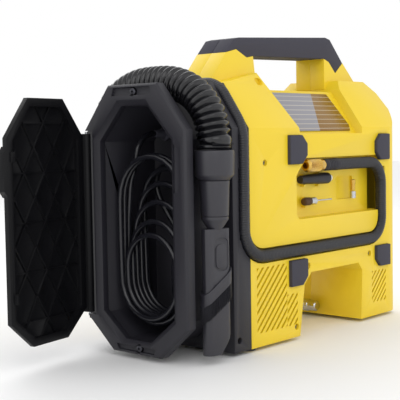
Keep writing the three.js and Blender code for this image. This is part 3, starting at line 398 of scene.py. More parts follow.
def ringed_solid(name, rings):
    """A closed solid through rings of points, each ring with as many points as the next."""
    build = bmesh.new()
    rows = [[build.verts.new(point) for point in ring] for ring in rings]
    sides = len(rows[0])
    for low, high in zip(rows, rows[1:]):
        for i in range(sides):
            j = (i + 1) % sides
            build.faces.new((low[i], low[j], high[j], high[i]))
    build.faces.new(reversed(rows[0]))
    build.faces.new(rows[-1])
    bmesh.ops.recalc_face_normals(build, faces=build.faces)
    mesh = bpy.data.meshes.new(name)
    build.to_mesh(mesh)
    build.free()
    return new_object(name, mesh)


def revolved(name, axis, centre, profile, sides=40, flutes=0, flute_depth=0.0, flute_span=(0, 0)):
    """A piece turned about X or Z from (radius, height) pairs; flutes cut its rim between two heights."""
    rings = []
    for radius, height in profile:
        ring = []
        for i in range(sides):
            angle = 2 * math.pi * i / sides
            r = radius
            if flutes and flute_span[0] <= height <= flute_span[1]:
                r -= flute_depth * (0.5 + 0.5 * math.cos(flutes * angle))
            u, v = r * math.cos(angle), r * math.sin(angle)
            local = (height, u, v) if axis == "x" else (u, v, height)
            ring.append(place(*(c + d for c, d in zip(centre, local))))
        rings.append(ring)
    return ringed_solid(name, rings)


def line_curve(name, points):
    """An open curve through points of the frame."""
    curve = bpy.data.curves.new(name, "CURVE")
    curve.dimensions = "3D"
    spline = curve.splines.new("POLY")
    spline.points.add(len(points) - 1)
    for target, point in zip(spline.points, points):
        target.co = (*point, 1)
    return new_object(name, curve)


def catmull(points, steps):
    """A smooth line through all the points."""
    padded = [points[0] * 2 - points[1], *points, points[-1] * 2 - points[-2]]
    line = []
    for a, b, c, d in zip(padded, padded[1:], padded[2:], padded[3:]):
        for i in range(steps):
            t = i / steps
            line.append(0.5 * (2 * b + (c - a) * t + (2 * a - 5 * b + 4 * c - d) * t * t
                               + (3 * b - a - 3 * c + d) * t ** 3))
    return [*line, points[-1]]


# ---------- geometry nodes ----------
def new_tree(name, sockets):
    """An empty geometry tree with its group input and output; sockets are (name, type, default)."""
    tree = bpy.data.node_groups.new(name, "GeometryNodeTree")
    tree.interface.new_socket("Geometry", in_out="INPUT", socket_type="NodeSocketGeometry")
    for label, kind, default in sockets:
        socket = tree.interface.new_socket(label, in_out="INPUT", socket_type=kind)
        if default is not None:
            socket.default_value = default
    tree.interface.new_socket("Geometry", in_out="OUTPUT", socket_type="NodeSocketGeometry")
    return tree, tree.nodes.new("NodeGroupInput"), tree.nodes.new("NodeGroupOutput")


def run_tree(obj, tree, values, name):
    """Puts the tree on an object with its inputs set by identifier, and gives back the plain result."""
    modifier = obj.modifiers.new("nodes", "NODES")
    modifier.node_group = tree
    for item in tree.interface.items_tree:
        if item.in_out == "INPUT" and item.name in values:
            modifier[item.identifier] = values[item.name]
    return as_plain_mesh(obj, name)


CREST_POWER = 1.6  # above 1 the grooves are narrower than the crests


def ribbed_tube_tree():
    """A tube along a curve whose wall rises in rings of a given pitch and depth."""
    tree, start, end = new_tree("ribbed_tube", [
        ("Radius", "NodeSocketFloat", 0.017), ("Pitch", "NodeSocketFloat", 0.0066),
        ("Depth", "NodeSocketFloat", 0.003), ("Steps per ring", "NodeSocketInt", 8),
        ("Sides", "NodeSocketInt", 32), ("Material", "NodeSocketMaterial", None)])
    pitch = start.outputs["Pitch"]
    length = add_node(tree, "GeometryNodeCurveLength", Curve=start.outputs["Geometry"])
    rings = calculate(tree, "DIVIDE", length.outputs[0], pitch)
    count = calculate(tree, "MULTIPLY", rings, start.outputs["Steps per ring"])
    line = add_node(tree, "GeometryNodeResampleCurve", Curve=start.outputs["Geometry"], Count=count)
    along = add_node(tree, "GeometryNodeSplineParameter")
    keep = add_node(tree, "GeometryNodeCaptureAttribute", {"domain": "POINT"})
    keep.capture_items.new("FLOAT", "Along")
    tree.links.new(line.outputs[0], keep.inputs[0])
    tree.links.new(along.outputs["Length"], keep.inputs[1])
    ring = add_node(tree, "GeometryNodeCurvePrimitiveCircle", Radius=start.outputs["Radius"],
                    Resolution=start.outputs["Sides"])
    tube = add_node(tree, "GeometryNodeCurveToMesh", {"Fill Caps": True}, Curve=keep.outputs[0])
    tree.links.new(ring.outputs[0], tube.inputs["Profile Curve"])
    angle = calculate(tree, "MULTIPLY", calculate(tree, "DIVIDE", keep.outputs[1], pitch), 2 * math.pi)
    wave = calculate(tree, "MULTIPLY_ADD", calculate(tree, "COSINE", angle), 0.5, 0.5)
    crest = calculate(tree, "POWER", wave, CREST_POWER)
    drop = calculate(tree, "MULTIPLY", crest, start.outputs["Depth"])
    push = add_node(tree, "ShaderNodeVectorMath", {"operation": "SCALE"})
    tree.links.new(add_node(tree, "GeometryNodeInputNormal").outputs[0], push.inputs[0])
    tree.links.new(calculate(tree, "MULTIPLY", drop, -1.0), push.inputs["Scale"])
    moved = add_node(tree, "GeometryNodeSetPosition", Geometry=tube.outputs[0], Offset=push.outputs[0])
    real = add_node(tree, "GeometryNodeRealizeInstances", Geometry=moved.outputs[0])
    done = add_node(tree, "GeometryNodeSetMaterial", Geometry=real.outputs[0],
                    Material=start.outputs["Material"])
    tree.links.new(done.outputs[0], end.inputs[0])
    return tree


def scattered_tree():
    """Copies of one mesh on loose points, turned by each point's own "turn" and a random wobble."""
    tree, start, end = new_tree("scattered_copies", [
        ("Copy", "NodeSocketObject", None), ("Wobble", "NodeSocketFloat", 0.0),
        ("Seed", "NodeSocketInt", 7), ("Material", "NodeSocketMaterial", None)])
    info = add_node(tree, "GeometryNodeObjectInfo", Object=start.outputs["Copy"])
    turn = add_node(tree, "GeometryNodeInputNamedAttribute", {"data_type": "FLOAT_VECTOR", "Name": "turn"})
    lower = calculate(tree, "MULTIPLY", start.outputs["Wobble"], -1.0)
    stray = add_node(tree, "FunctionNodeRandomValue", {"data_type": "FLOAT_VECTOR"},
                     Seed=start.outputs["Seed"])
    tree.links.new(lower, stray.inputs[0])
    tree.links.new(start.outputs["Wobble"], stray.inputs[1])
    both = add_node(tree, "ShaderNodeVectorMath", {"operation": "ADD"})
    tree.links.new(turn.outputs[0], both.inputs[0])
    tree.links.new(stray.outputs[0], both.inputs[1])
    copies = add_node(tree, "GeometryNodeInstanceOnPoints", Points=start.outputs["Geometry"],
                      Instance=info.outputs["Geometry"], Rotation=both.outputs[0])
    real = add_node(tree, "GeometryNodeRealizeInstances", Geometry=copies.outputs[0])
    done = add_node(tree, "GeometryNodeSetMaterial", Geometry=real.outputs[0],
                    Material=start.outputs["Material"])
    tree.links.new(done.outputs[0], end.inputs[0])
    return tree


def scatter(name, copy, points, turns, wobble, material):
    """Copies of a mesh object on points, as one plain mesh; the pattern object is removed afterwards."""
    mesh = bpy.data.meshes.new(name + "_points")
    mesh.from_pydata([tuple(p) for p in points], [], [])
    facing = mesh.attributes.new("turn", "FLOAT_VECTOR", "POINT")
    for i, turn in enumerate(turns):
        facing.data[i].vector = turn
    made = run_tree(new_object(name + "_points", mesh), scattered_tree(),
                    {"Copy": copy, "Wobble": wobble, "Seed": 7, "Material": material}, name)
    bpy.data.objects.remove(copy)
    return made


# ---------- cord and hose routes ----------
def stadium(half_width, half_height, turn, middle):
    """A point (y, z) on an upright oval, from the top of its +Y side downwards; turn 1 is once round."""
    reach = half_height - half_width
    quarter = math.pi * half_width / 2
    around = 4 * reach + 4 * quarter
    s = (turn % 1.0) * around
    if s < 2 * reach:
        return half_width, middle + reach - s
    s -= 2 * reach
    if s < 2 * quarter:
        a = s / half_width
        return half_width * math.cos(a), middle - reach - half_width * math.sin(a)
    s -= 2 * quarter
    if s < 2 * reach:
        return -half_width, middle - reach + s
    a = (s - 2 * reach) / half_width
    return -half_width * math.cos(a), middle + reach + half_width * math.sin(a)


def ease(t):
    """A smooth step from 0 to 1."""
    t = min(max(t, 0.0), 1.0)
    return t * t * (3 - 2 * t)


OUTER_OVAL = (43.6, 85.0)  # half width and half height of the outer turns
INNER_OVAL = (36.6, 78.5)
OUTER_STRAY, OUTER_RHYTHM, OUTER_PHASE = 0.5, 0.41, 0.6  # how unevenly the outer turns lie
INNER_STRAY, INNER_RHYTHM = 0.3, 0.57
COIL_ENTRY_X, COIL_PITCH = -160.5, 6.3
TURN_BACK = 2.3  # turns after which the winding comes back inside itself
CROSS_FROM, CROSS_OVER = 2.0, 0.5
INNER_END = 7.857  # at the top of the last inner turn
HANG = 38.4  # how much lower the middle of the first inner loop hangs than that of the outer turns
POINTS_PER_TURN, FIRST_POINT = 40, 2
TAIL_R, TAIL_STEPS = 26.0, 30
GLAND_TIP = (-134.6, 30.0, 226.0)
LEAD = [(-140, 30, 225.7), (-145.7, 30, 224.2), (-150, 30, 221.9), (-153.5, 30.2, 219),
        (-158.7, 30.8, 211.2), (-160.5, 31.7, 201), (-160.5, 35.6, 187), (-160.5, 40.2, 174)]
LEAD_STEPS = 6
PLUG_TOP = (-127.0, 0.0, 104.3)


def coil_point(t):
    """The winding after t turns: outer turns towards the mouth, then inner turns away from it."""
    across = ease((t - CROSS_FROM) / CROSS_OVER)
    outward = OUTER_STRAY * (1 + math.sin(2 * math.pi * t * OUTER_RHYTHM + OUTER_PHASE)) * (1 - across)
    inward = INNER_STRAY * (1 + math.sin(2 * math.pi * t * INNER_RHYTHM)) * across
    grow = outward - inward
    width, height = (a + (b - a) * across + grow for a, b in zip(OUTER_OVAL, INNER_OVAL))
    hang = HANG * across * (1 - ease((t - CROSS_FROM) / (INNER_END - CROSS_FROM)))
    x = COIL_ENTRY_X - COIL_PITCH * (min(t, TURN_BACK) - max(0.0, t - TURN_BACK))
    return (x, *stadium(width, height - hang, t, COIL_Z - hang))


def cord_tail(x0, y0, z0):
    """The end of the cord, from the last turn round a bend and down to the plug."""
    arc_length = math.pi / 2 * TAIL_R
    drop = z0 - TAIL_R - PLUG_TOP[2]
    tail = []
    for i in range(1, TAIL_STEPS + 1):
        gone = i / TAIL_STEPS * (arc_length + drop)
        x = x0 + (PLUG_TOP[0] - x0) * ease(gone / (arc_length + drop))
        if gone < arc_length:
            a = gone / TAIL_R
            tail.append((x, y0 + TAIL_R * math.sin(a), z0 - TAIL_R * (1 - math.cos(a))))
        else:
            share = (gone - arc_length) / drop
            y = (y0 + TAIL_R) * (1 - ease(share)) + PLUG_TOP[1] * ease(share)
            tail.append((x, y, z0 - TAIL_R - drop * share))
    return tail


def cord_route():
    """The power cord: from its gland into the outer turns, back through the inner ones, to its plug."""
    turns = [coil_point(i / POINTS_PER_TURN) for i in range(FIRST_POINT, int(INNER_END * POINTS_PER_TURN))]
    turns.append(coil_point(INNER_END))
    smooth = catmull([place(*p) for p in (GLAND_TIP, *LEAD, turns[0])], LEAD_STEPS)
    return [*smooth, *[place(*p) for p in (*turns[1:], *cord_tail(*turns[-1]))]]


CORNER_PULL, CORNER_STEPS = 0.56, 10  # how far a corner's handles reach towards it, and its fineness


def rounded_run(stops):
    """Straight runs between stops of (point, reach), every corner softened over its own reach."""
    line = [stops[0][0]]
    for (before, _), (corner, reach), (after, _) in zip(stops, stops[1:], stops[2:]):
        enter = corner + (before - corner).normalized() * reach
        leave = corner + (after - corner).normalized() * reach
        near, far = enter.lerp(corner, CORNER_PULL), leave.lerp(corner, CORNER_PULL)
        for i in range(CORNER_STEPS + 1):
            t = i / CORNER_STEPS
            line.append(enter * (1 - t) ** 3 + near * 3 * t * (1 - t) ** 2
                        + far * 3 * t * t * (1 - t) + leave * t ** 3)
    line.append(stops[-1][0])
    return line


AIR_START_X, AIR_END_Z = 55, 52
AIR_FRONT_X, AIR_LOW_Z = 150.5, 98  # where the hose turns back round the tray, and its lower run
AIR_CLIMB_X = -113.6  # where it climbs the end housing
SHOULDER_Y, SHOULDER_Z, ROOF_Z = 73, 230, 277  # of the end housing
HOUSING_LEAN = 37 / 54  # how far the housing leans in above its shoulder, for its height
AIR_SUNK = 1.0  # how deep the hose's middle lies in the housing
TRAY_BEND, CLIMB_BEND, SHOULDER_BEND, ROOF_BEND = 26, 32, 13, 14


def air_hose_route():
    """The air hose: out of its sleeve, round the tray, up the end housing, over it and down its far side."""
    turn_z = SHOULDER_Z - AIR_SUNK * math.tan(math.atan(HOUSING_LEAN) / 2)
    top_z = ROOF_Z - AIR_SUNK
    top_y = SHOULDER_Y - AIR_SUNK - (top_z - turn_z) * HOUSING_LEAN
    x, y = AIR_CLIMB_X, AIR_HOSE_Y
    stops = [((AIR_START_X, -y, AIR_RUN_HIGH), 0), ((AIR_FRONT_X, -y, AIR_RUN_HIGH), TRAY_BEND),
             ((AIR_FRONT_X, -y, AIR_LOW_Z), TRAY_BEND), ((x, -y, AIR_LOW_Z), CLIMB_BEND),
             ((x, -y, turn_z), SHOULDER_BEND), ((x, -top_y, top_z), ROOF_BEND),
             ((x, top_y, top_z), ROOF_BEND), ((x, y, turn_z), SHOULDER_BEND), ((x, y, AIR_END_Z), 0)]
    return rounded_run([(place(*at), reach * MM) for at, reach in stops])


# (y, z) along the suction hose, from the wand's cuff over the end housing to the port's cuff.
SUCTION_RUN = [(-HOSE_Y, 209.3), (-HOSE_Y, 216), (-HOSE_Y, 223), (-68, 246), (-50, 265), (-26, 275), (0, 277),
               (26, 275), (50, 265), (68, 246), (HOSE_Y, 223), (HOSE_Y, 180), (HOSE_Y, 140), (HOSE_Y, 112.3)]
SUCTION_STEPS = 8


def suction_hose_route():
    """The suction hose's middle line."""
    return catmull([place(HOSE_X, y, z) for y, z in SUCTION_RUN], SUCTION_STEPS)


# ---------- operators ----------
class PieceOperator:
    """What the operators share: each makes its own piece from the scene's sizes."""
    bl_options = {"REGISTER", "UNDO"}

    def execute(self, context):
        self.make(context.scene.inflator_sizes)
        return {"FINISHED"}


CAMERA_AT = (-887, -697, 223)
CAMERA_FORWARD, CAMERA_UP = (0.7483, 0.6606, -0.0648), (0.0598, 0.0301, 0.9982)
LENS, SENSOR = 89, 36


class INFLATOR_OT_camera(PieceOperator, bpy.types.Operator):
    """Sets up the camera."""
    bl_idname = "inflator.camera"
    bl_label = "Camera"

    def make(self, sizes):
        data = bpy.data.cameras.new("camera")
        data.lens = LENS
        data.sensor_width = SENSOR
        camera = new_object("camera", data)
        forward = Vector(CAMERA_FORWARD).normalized()
        right = forward.cross(Vector(CAMERA_UP)).normalized()
        up = right.cross(forward)
        turn = Matrix((right, up, -forward)).transposed().to_4x4()
        camera.matrix_world = Matrix.Translation(place(*CAMERA_AT)) @ turn
        bpy.context.scene.camera = camera


class INFLATOR_OT_cord(PieceOperator, bpy.types.Operator):
    """Winds the power cord into its compartment, from its gland to its plug."""
    bl_idname = "inflator.cord"
    bl_label = "Power cord"

    def make(self, sizes):
        route = cord_route()
        cord = line_curve("power_cord_wound", route)
        cord.data.bevel_depth = sizes.cord_diameter / 2
        cord.data.bevel_resolution = 4
        cord.data.use_fill_caps = True
        cord.data.materials.append(cable_pvc())
        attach(cord, "machine")
        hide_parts("power_cord", "cord_coil")
        gland = softened("cord_gland", 0.5, soft_tpe)
        plug = softened("power_plug", 0.6, smoked_plastic)


SUCTION_SIDES, SUCTION_RING_STEPS = 40, 8
AIR_SIDES, AIR_RING_STEPS = 20, 4
AIR_WALL_PITCH_M, AIR_WALL_DEPTH_M = 0.0024, 0.0005  # the air hose's faint ribs
SLEEVE_X = 29
SLEEVE_RIB, SLEEVE_RIB_PITCH = 0.7, 1.5
# Profiles are (radius, height) from the foot of each turned piece.
SLEEVE_PROFILE = [(CORE, 0), (4.8, 0), (6.2, 2), (6.8, 4),
                  *[(6.8 - SLEEVE_RIB * (k % 2), 4.6 + SLEEVE_RIB_PITCH * k) for k in range(10)],
                  (6.9, 20), (7, 25.7), (CORE, 25.7)]


class INFLATOR_OT_suction_hose(PieceOperator, bpy.types.Operator):
    """Makes the ringed suction hose over the end housing."""
    bl_idname = "inflator.suction_hose"
    bl_label = "Suction hose"

    def make(self, sizes):
        hose = run_tree(line_curve("suction_hose_line", suction_hose_route()), ribbed_tube_tree(), {
            "Radius": sizes.hose_diameter / 2, "Pitch": sizes.hose_pitch, "Depth": sizes.hose_depth,
            "Steps per ring": SUCTION_RING_STEPS, "Sides": SUCTION_SIDES,
            "Material": hose_polyethylene()}, "suction_hose_rings")
        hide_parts("suction_hose")
        finish_piece(hose, "machine", hose_polyethylene())


class INFLATOR_OT_air_hose(PieceOperator, bpy.types.Operator):
    """Lays the air hose in its groove, from the sleeve to the far side."""
    bl_idname = "inflator.air_hose"
    bl_label = "Air hose"

    def make(self, sizes):
        hose = run_tree(line_curve("air_hose_line", air_hose_route()), ribbed_tube_tree(), {
            "Radius": sizes.air_hose_diameter / 2, "Pitch": AIR_WALL_PITCH_M, "Depth": AIR_WALL_DEPTH_M,
            "Steps per ring": AIR_RING_STEPS, "Sides": AIR_SIDES, "Material": hose_rubber()}, "air_hose_wall")
        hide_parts("air_hose")
        finish_piece(hose, "machine", hose_rubber())
        sleeve = revolved("air_hose_sleeve_turned", "x", (SLEEVE_X, -AIR_HOSE_Y, AIR_RUN_HIGH),
                          SLEEVE_PROFILE)
        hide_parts("air_hose_sleeve")
        finish_piece(sleeve, "machine", black_abs())


CHUCK_FOOT = (-5, -AIR_HOSE_Y, AIR_RUN_HIGH)
CHUCK_PROFILE = [(3.4, 8), (3.4, 0.2), (5.2, 0), (6, 2), (6.9, 3), (6.9, 3.4), (6.9, 24.4), (6.9, 25),
                 (6.2, 27.5), (6.2, 31), (4.8, 32), (4.8, 33.7), (CORE, 33.7)]
CONE_Z, CONE_X, CONE_TIP_X = 173, -4, 48.5
CONE_PROFILE = [(CORE, 0), (4.2, 0), (4.6, 2), (6.4, 44), (6.4, 52), (4.6, 52.3), (CORE, 52.4)]
CONE_TIP_PROFILE = [(CORE, 0), (4.4, 0), (4.2, 5), (3.6, 5.5), (CORE, 5.5)]
NEEDLE_FOOT = (2, TRAY_Y, 148.5)
NEEDLE_PROFILE = [(CORE, 11.9), (4.3, 12), (4.4, 13), (4.2, 22), (2.2, 24), (0.9, 25), (0.9, 55), (CORE, 56)]
NEEDLE_BASE_PROFILE = [(CORE, 0), (2.6, 0), (4.0, 1), (4.4, 2.4), (4.4, 11), (4.0, 11.8), (CORE, 11.8)]
ADAPTOR_FOOT = (102, TRAY_Y, 147)
ADAPTOR_STEM_PROFILE = [(CORE, 0), (3.2, 0), (3.4, 1), (3.4, 8), (CORE, 8.4)]
ADAPTOR_CAP_PROFILE = [(CORE, 8.5), (2.6, 9), (2.6, 16), (3, 17), (3, 21.6), (2.6, 22), (CORE, 22)]


class INFLATOR_OT_chuck(PieceOperator, bpy.types.Operator):
    """Turns the brass chuck, the cone nozzle, the ball needle and the valve adaptor."""
    bl_idname = "inflator.chuck"
    bl_label = "Chuck and accessories"

    def make(self, sizes):
        chuck = revolved("chuck_nut_turned", "x", CHUCK_FOOT, CHUCK_PROFILE,
                         sides=120, flutes=30, flute_depth=0.7, flute_span=(3.3, 24.5))
        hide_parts("chuck_nut")
        finish_piece(chuck, BODY_OF["chuck_nut"], turned_brass())
        cone = revolved("cone_nozzle_turned", "x", (CONE_X, TRAY_Y, CONE_Z), CONE_PROFILE)
        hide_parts("cone_nozzle")
        finish_piece(cone, BODY_OF["cone_nozzle"], black_abs())
        tip = revolved("cone_nozzle_tip", "x", (CONE_TIP_X, TRAY_Y, CONE_Z), CONE_TIP_PROFILE)
        finish_piece(tip, BODY_OF["cone_nozzle"], ivory_plastic())
        needle = revolved("ball_needle_turned", "x", NEEDLE_FOOT, NEEDLE_PROFILE,
                          sides=60, flutes=20, flute_depth=0.35, flute_span=(12.5, 22))
        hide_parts("ball_needle")
        finish_piece(needle, BODY_OF["ball_needle"], nickel())
        grip = revolved("ball_needle_base", "x", NEEDLE_FOOT, NEEDLE_BASE_PROFILE)
        finish_piece(grip, BODY_OF["ball_needle"], tan_rubber())
        low = revolved("valve_adaptor_stem", "z", ADAPTOR_FOOT, ADAPTOR_STEM_PROFILE,
                       sides=60, flutes=20, flute_depth=0.3, flute_span=(0.9, 7.9))
        finish_piece(low, BODY_OF["valve_adaptor"], nickel())
        cap = revolved("valve_adaptor_turned", "z", ADAPTOR_FOOT, ADAPTOR_CAP_PROFILE)
        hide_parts("valve_adaptor")
        finish_piece(cap, BODY_OF["valve_adaptor"], turned_brass())


BRISTLE_RADIUS_M = 0.00042
BRISTLE_RINGS = ((0.0, 1.0), (0.6, 0.8), (1.0, 0.35))  # share of the length, share of the radius
BRISTLE_CORNERS = (0, 2.1, 4.2)  # angles of its three sides
BRISTLE_STEP, BRISTLE_WOBBLE = 0.62, 0.045
BRUSH_ROWS = (6.95, 7.35, 7.7)  # radii of the rows at the ends of the nozzle's oval
BRUSH_FLAT = 8.8  # half the straight side of that oval
BRUSH_TWIST = math.radians(-15)
COLLAR_LOW_Z, COLLAR_RISE, COLLAR_HALF = 57, 25, 17  # the slanted underside of the collar
BRISTLE_ROOT = 0.8  # how far a bristle reaches up into the collar


def one_bristle(length):
    """A three-sided bristle hanging from the origin, tapered to its tip."""
    return ringed_solid("bristle", [
        [(BRISTLE_RADIUS_M * wide * math.cos(a), BRISTLE_RADIUS_M * wide * math.sin(a), -length * share)
         for a in BRISTLE_CORNERS] for share, wide in BRISTLE_RINGS])


def bristle_seats():
    """Where the bristles stand: rows round the nozzle's oval, on the slant of the collar."""
    seats = []
    straight = 2 * BRUSH_FLAT
    for row in BRUSH_ROWS:
        bend = math.pi * row
        for i in range(int((2 * straight + 2 * bend) / BRISTLE_STEP)):
            s = i * BRISTLE_STEP
            if s < straight:
                u, v = -BRUSH_FLAT + s, -row
            elif s < straight + bend:
                a = -math.pi / 2 + (s - straight) / row
                u, v = BRUSH_FLAT + row * math.cos(a), row * math.sin(a)
            elif s < 2 * straight + bend:
                u, v = BRUSH_FLAT - (s - straight - bend), row
            else:
                a = math.pi / 2 + (s - 2 * straight - bend) / row
                u, v = -BRUSH_FLAT + row * math.cos(a), row * math.sin(a)
            x = u * math.cos(BRUSH_TWIST) - v * math.sin(BRUSH_TWIST)
            y = u * math.sin(BRUSH_TWIST) + v * math.cos(BRUSH_TWIST)
            z = COLLAR_LOW_Z + COLLAR_RISE * (u + COLLAR_HALF) / (2 * COLLAR_HALF) + BRISTLE_ROOT
            seats.append(place(HOSE_X + x, -HOSE_Y + y, z))
    return seats


class INFLATOR_OT_brush(PieceOperator, bpy.types.Operator):
    """Sets the brush's bristles round the nozzle under their slanted collar."""
    bl_idname = "inflator.brush"
    bl_label = "Brush"

    def make(self, sizes):
        seats = bristle_seats()
        tuft = scatter("brush_bristles_set", one_bristle(sizes.bristle_length), seats,
                       [(0, 0, 0)] * len(seats), BRISTLE_WOBBLE, nylon_bristle())
        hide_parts("brush_bristles")
        finish_piece(tuft, BODY_OF["brush_bristles"], nylon_bristle())


SKINS = {  # node: (rounding in millimetres, material)
    "tray_side_shell": (1.1, yellow_abs), "control_side_shell": (1.1, yellow_abs),
    "grip_tray_side": (2.4, soft_tpe), "grip_control_side": (2.4, soft_tpe),
    "end_housing": (1.0, black_abs), "compartment_frame": (0.8, black_abs),
    # The door takes the black moulding darkened as painted shade.
    "compartment_door": (0.5, door_abs_painted_shade),
    "door_hinge_pin": (0.2, bare_steel), "hose_port_cuff": (0.7, black_abs),
    "hose_port_elbow": (1.5, black_abs),
    "wand_cuff": (0.7, wand_abs), "wand_tube": (0.5, wand_abs), "crevice_nozzle": (0.5, wand_abs),
    "brush_collar": (0.5, wand_abs), "control_panel": (0.6, black_abs),
    "display_window": (0.2, display_glass),
    "key_minus": (0.4, soft_tpe), "key_power": (0.4, red_plastic), "key_plus": (0.4, soft_tpe),
    "mode_rocker": (0.6, red_plastic), "dust_cup": (0.9, smoked_plastic), "dust_filter": (0.2, pleated_paper),
    "fan_scroll": (0.6, black_abs), "fan_impeller": (0.2, black_abs), "fan_motor": (0.8, bare_steel),
    "compressor_motor": (0.8, bare_steel), "compressor_bracket": (0.4, cast_aluminium),
    "motor_pinion": (0.1, turned_brass), "crank_wheel": (0.15, bare_steel),
    "connecting_rod": (0.4, cast_aluminium), "piston": (0.4, cast_aluminium),
    "cylinder": (0.5, cast_aluminium),
    "cylinder_head": (0.7, cast_aluminium), "circuit_board": (0.2, board_laminate),
    "air_outlet_fitting": (0.5, nickel), "rating_label": (0.15, printed_polyester),
}


BUMPER_ROUNDING, FOOT_ROUNDING = 1.3, 0.5


class INFLATOR_OT_mouldings(PieceOperator, bpy.types.Operator):
    """Rounds the edges of every moulded, cast and turned piece and gives each its finish."""
    bl_idname = "inflator.mouldings"
    bl_label = "Mouldings"

    def make(self, sizes):
        for node, (width, material) in SKINS.items():
            softened(node, width, material)
        for node in BODY_OF:
            if "_bumper_" in node:
                softened(node, BUMPER_ROUNDING, soft_tpe, segments=3)
            if node.startswith("foot_"):
                softened(node, FOOT_ROUNDING, soft_tpe)


SHELL_SCREWS, SHELL_SCREW_Y, SHELL_SCREW_R = [(-78, 194), (-2.5, 79), (123, 80), (-25, 15)], 69.2, 3.3
FRAME_SCREWS, FRAME_SCREW_X, FRAME_SCREW_R = [(-1, 267.5), (-3, 11.5)], -195.2, 4.1
# A screw's head, in shares of its radius.
HEAD_SIDES = 24
HEAD_RINGS = ((1.0, -0.55), (1.0, 0.1), (0.86, 0.34), (0.55, 0.46))  # radius and height
RECESS_ARM, RECESS_CORNER, RECESS_SLOPE = 0.5, 0.2, 0.28  # how far out its edge is
RECESS_EDGE_Z, RECESS_FLOOR_Z, RECESS_TAPER = 0.44, -0.1, 0.6


def screw_head(radius):
    """A pan head with a cross recess."""
    angles = [2 * math.pi * i / HEAD_SIDES for i in range(HEAD_SIDES)]
    rings = [[(radius * share * math.cos(a), radius * share * math.sin(a), radius * height) for a in angles]
             for share, height in HEAD_RINGS]
    for taper, height in ((1.0, RECESS_EDGE_Z), (RECESS_TAPER, RECESS_FLOOR_Z)):
        ring = []
        for i, a in enumerate(angles):
            wing = RECESS_ARM if i % 6 == 0 else (RECESS_CORNER if i % 6 == 3 else RECESS_SLOPE)
            ring.append((radius * wing * taper * math.cos(a), radius * wing * taper * math.sin(a),
                         radius * height))
        rings.append(ring)
    return ringed_solid("screw_head", rings)


class INFLATOR_OT_screws(PieceOperator, bpy.types.Operator):
    """Sets the cross-slot screws into the shells' and the frame's wells."""
    bl_idname = "inflator.screws"
    bl_label = "Screws"

    def make(self, sizes):
        near = [place(x, -SHELL_SCREW_Y, z) for x, z in SHELL_SCREWS]
        far = [place(x, SHELL_SCREW_Y, z) for x, z in SHELL_SCREWS]
        end = [place(FRAME_SCREW_X, y, z) for y, z in FRAME_SCREWS]
        quarter = math.pi / 2
        self.screws("shell_screws_tray_side", near, (quarter, 0, 0), SHELL_SCREW_R, bare_steel())
        self.screws("shell_screws_control_side", far, (-quarter, 0, 0), SHELL_SCREW_R, bare_steel())
        self.screws("frame_screws", end, (0, -quarter, 0), FRAME_SCREW_R, blackened_steel())

    def screws(self, name, points, turn, radius, material):
        """A set of screws that face the same way."""
        heads = scatter(name, screw_head(radius * MM), points, [turn] * len(points), 0.0, material)
        finish_piece(heads, "machine", material)


FLOOR_REACH_M = 6.0
AIM_M = (0, 0, 0.16)  # where the lights point
LIGHTS = (  # name, place in metres, watts, size in metres
    ("key", (-1.2, -1.5, 1.5), 7, 1.3), ("fill", (0.6, -2.0, 0.8), 2.5, 1.6),
    ("end", (-2.0, 0.1, 0.9), 3, 1.2), ("rim", (0.6, 1.2, 1.6), 7, 1.2))


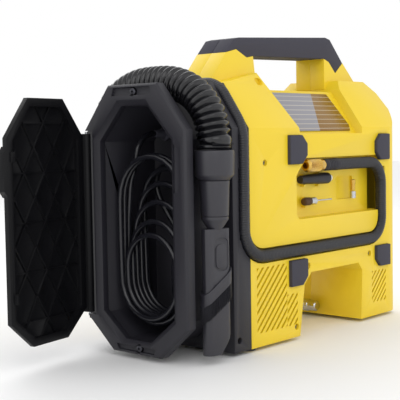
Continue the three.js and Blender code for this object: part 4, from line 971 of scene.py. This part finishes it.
class INFLATOR_OT_stage(PieceOperator, bpy.types.Operator):
    """Lays the floor and sets the soft lights."""
    bl_idname = "inflator.stage"
    bl_label = "Stage"

    def make(self, sizes):
        mesh = bpy.data.meshes.new("floor")
        reach = FLOOR_REACH_M
        mesh.from_pydata([(-reach, -reach, 0), (reach, -reach, 0), (reach, reach, 0), (-reach, reach, 0)], [],
                         [(0, 1, 2, 3)])
        floor = new_object("floor", mesh)
        # Matt painted board, nearly white: it takes a soft shadow and shows no texture.
        floor.data.materials.append(surface("pale_floor", linear("F4F4F4"), 0.7, grain_mm=8, grain=0.01,
                                            mottle=0.01, IOR=1.45))
        world = bpy.data.worlds.new("studio")
        world.use_nodes = True
        world.node_tree.nodes["Background"].inputs["Color"].default_value = (1, 1, 1, 1)
        world.node_tree.nodes["Background"].inputs["Strength"].default_value = 1.0
        bpy.context.scene.world = world
        bpy.context.scene.view_settings.view_transform = "Standard"
        for row in LIGHTS:
            self.light(*row)

    def light(self, name, at, watts, size):
        """One square soft light."""
        data = bpy.data.lights.new(name, "AREA")
        data.energy = watts
        data.size = size
        lamp = new_object(name, data)
        aim = (Vector(AIM_M) - Vector(at)).to_track_quat("-Z", "Y").to_matrix().to_4x4()
        lamp.matrix_world = Matrix.Translation(at) @ aim


class INFLATOR_PT_panel(bpy.types.Panel):
    """Lists the sizes, the colours and the pieces."""
    bl_idname = "INFLATOR_PT_panel"
    bl_label = "Tyre inflator"
    bl_space_type = "VIEW_3D"
    bl_region_type = "UI"
    bl_category = "Inflator"

    def draw(self, context):
        for group in (context.scene.inflator_sizes, context.scene.inflator_colours):
            for name in group.__annotations__:
                self.layout.prop(group, name)
        for piece in PIECES:
            self.layout.operator(piece.bl_idname)


PIECES = (INFLATOR_OT_camera, INFLATOR_OT_cord, INFLATOR_OT_suction_hose, INFLATOR_OT_air_hose,
          INFLATOR_OT_chuck, INFLATOR_OT_brush, INFLATOR_OT_mouldings, INFLATOR_OT_screws, INFLATOR_OT_stage)
CLASSES = (InflatorSizes, InflatorColours, *PIECES, INFLATOR_PT_panel)


def register():
    for item in CLASSES:
        bpy.utils.register_class(item)
    bpy.types.Scene.inflator_sizes = PointerProperty(type=InflatorSizes)
    bpy.types.Scene.inflator_colours = PointerProperty(type=InflatorColours)


def unregister():
    del bpy.types.Scene.inflator_colours
    del bpy.types.Scene.inflator_sizes
    for item in reversed(CLASSES):
        bpy.utils.unregister_class(item)


def main():
    register()
    for piece in PIECES:
        group, action = piece.bl_idname.split(".")
        getattr(getattr(bpy.ops, group), action)()


if __name__ == "__main__":
    main()
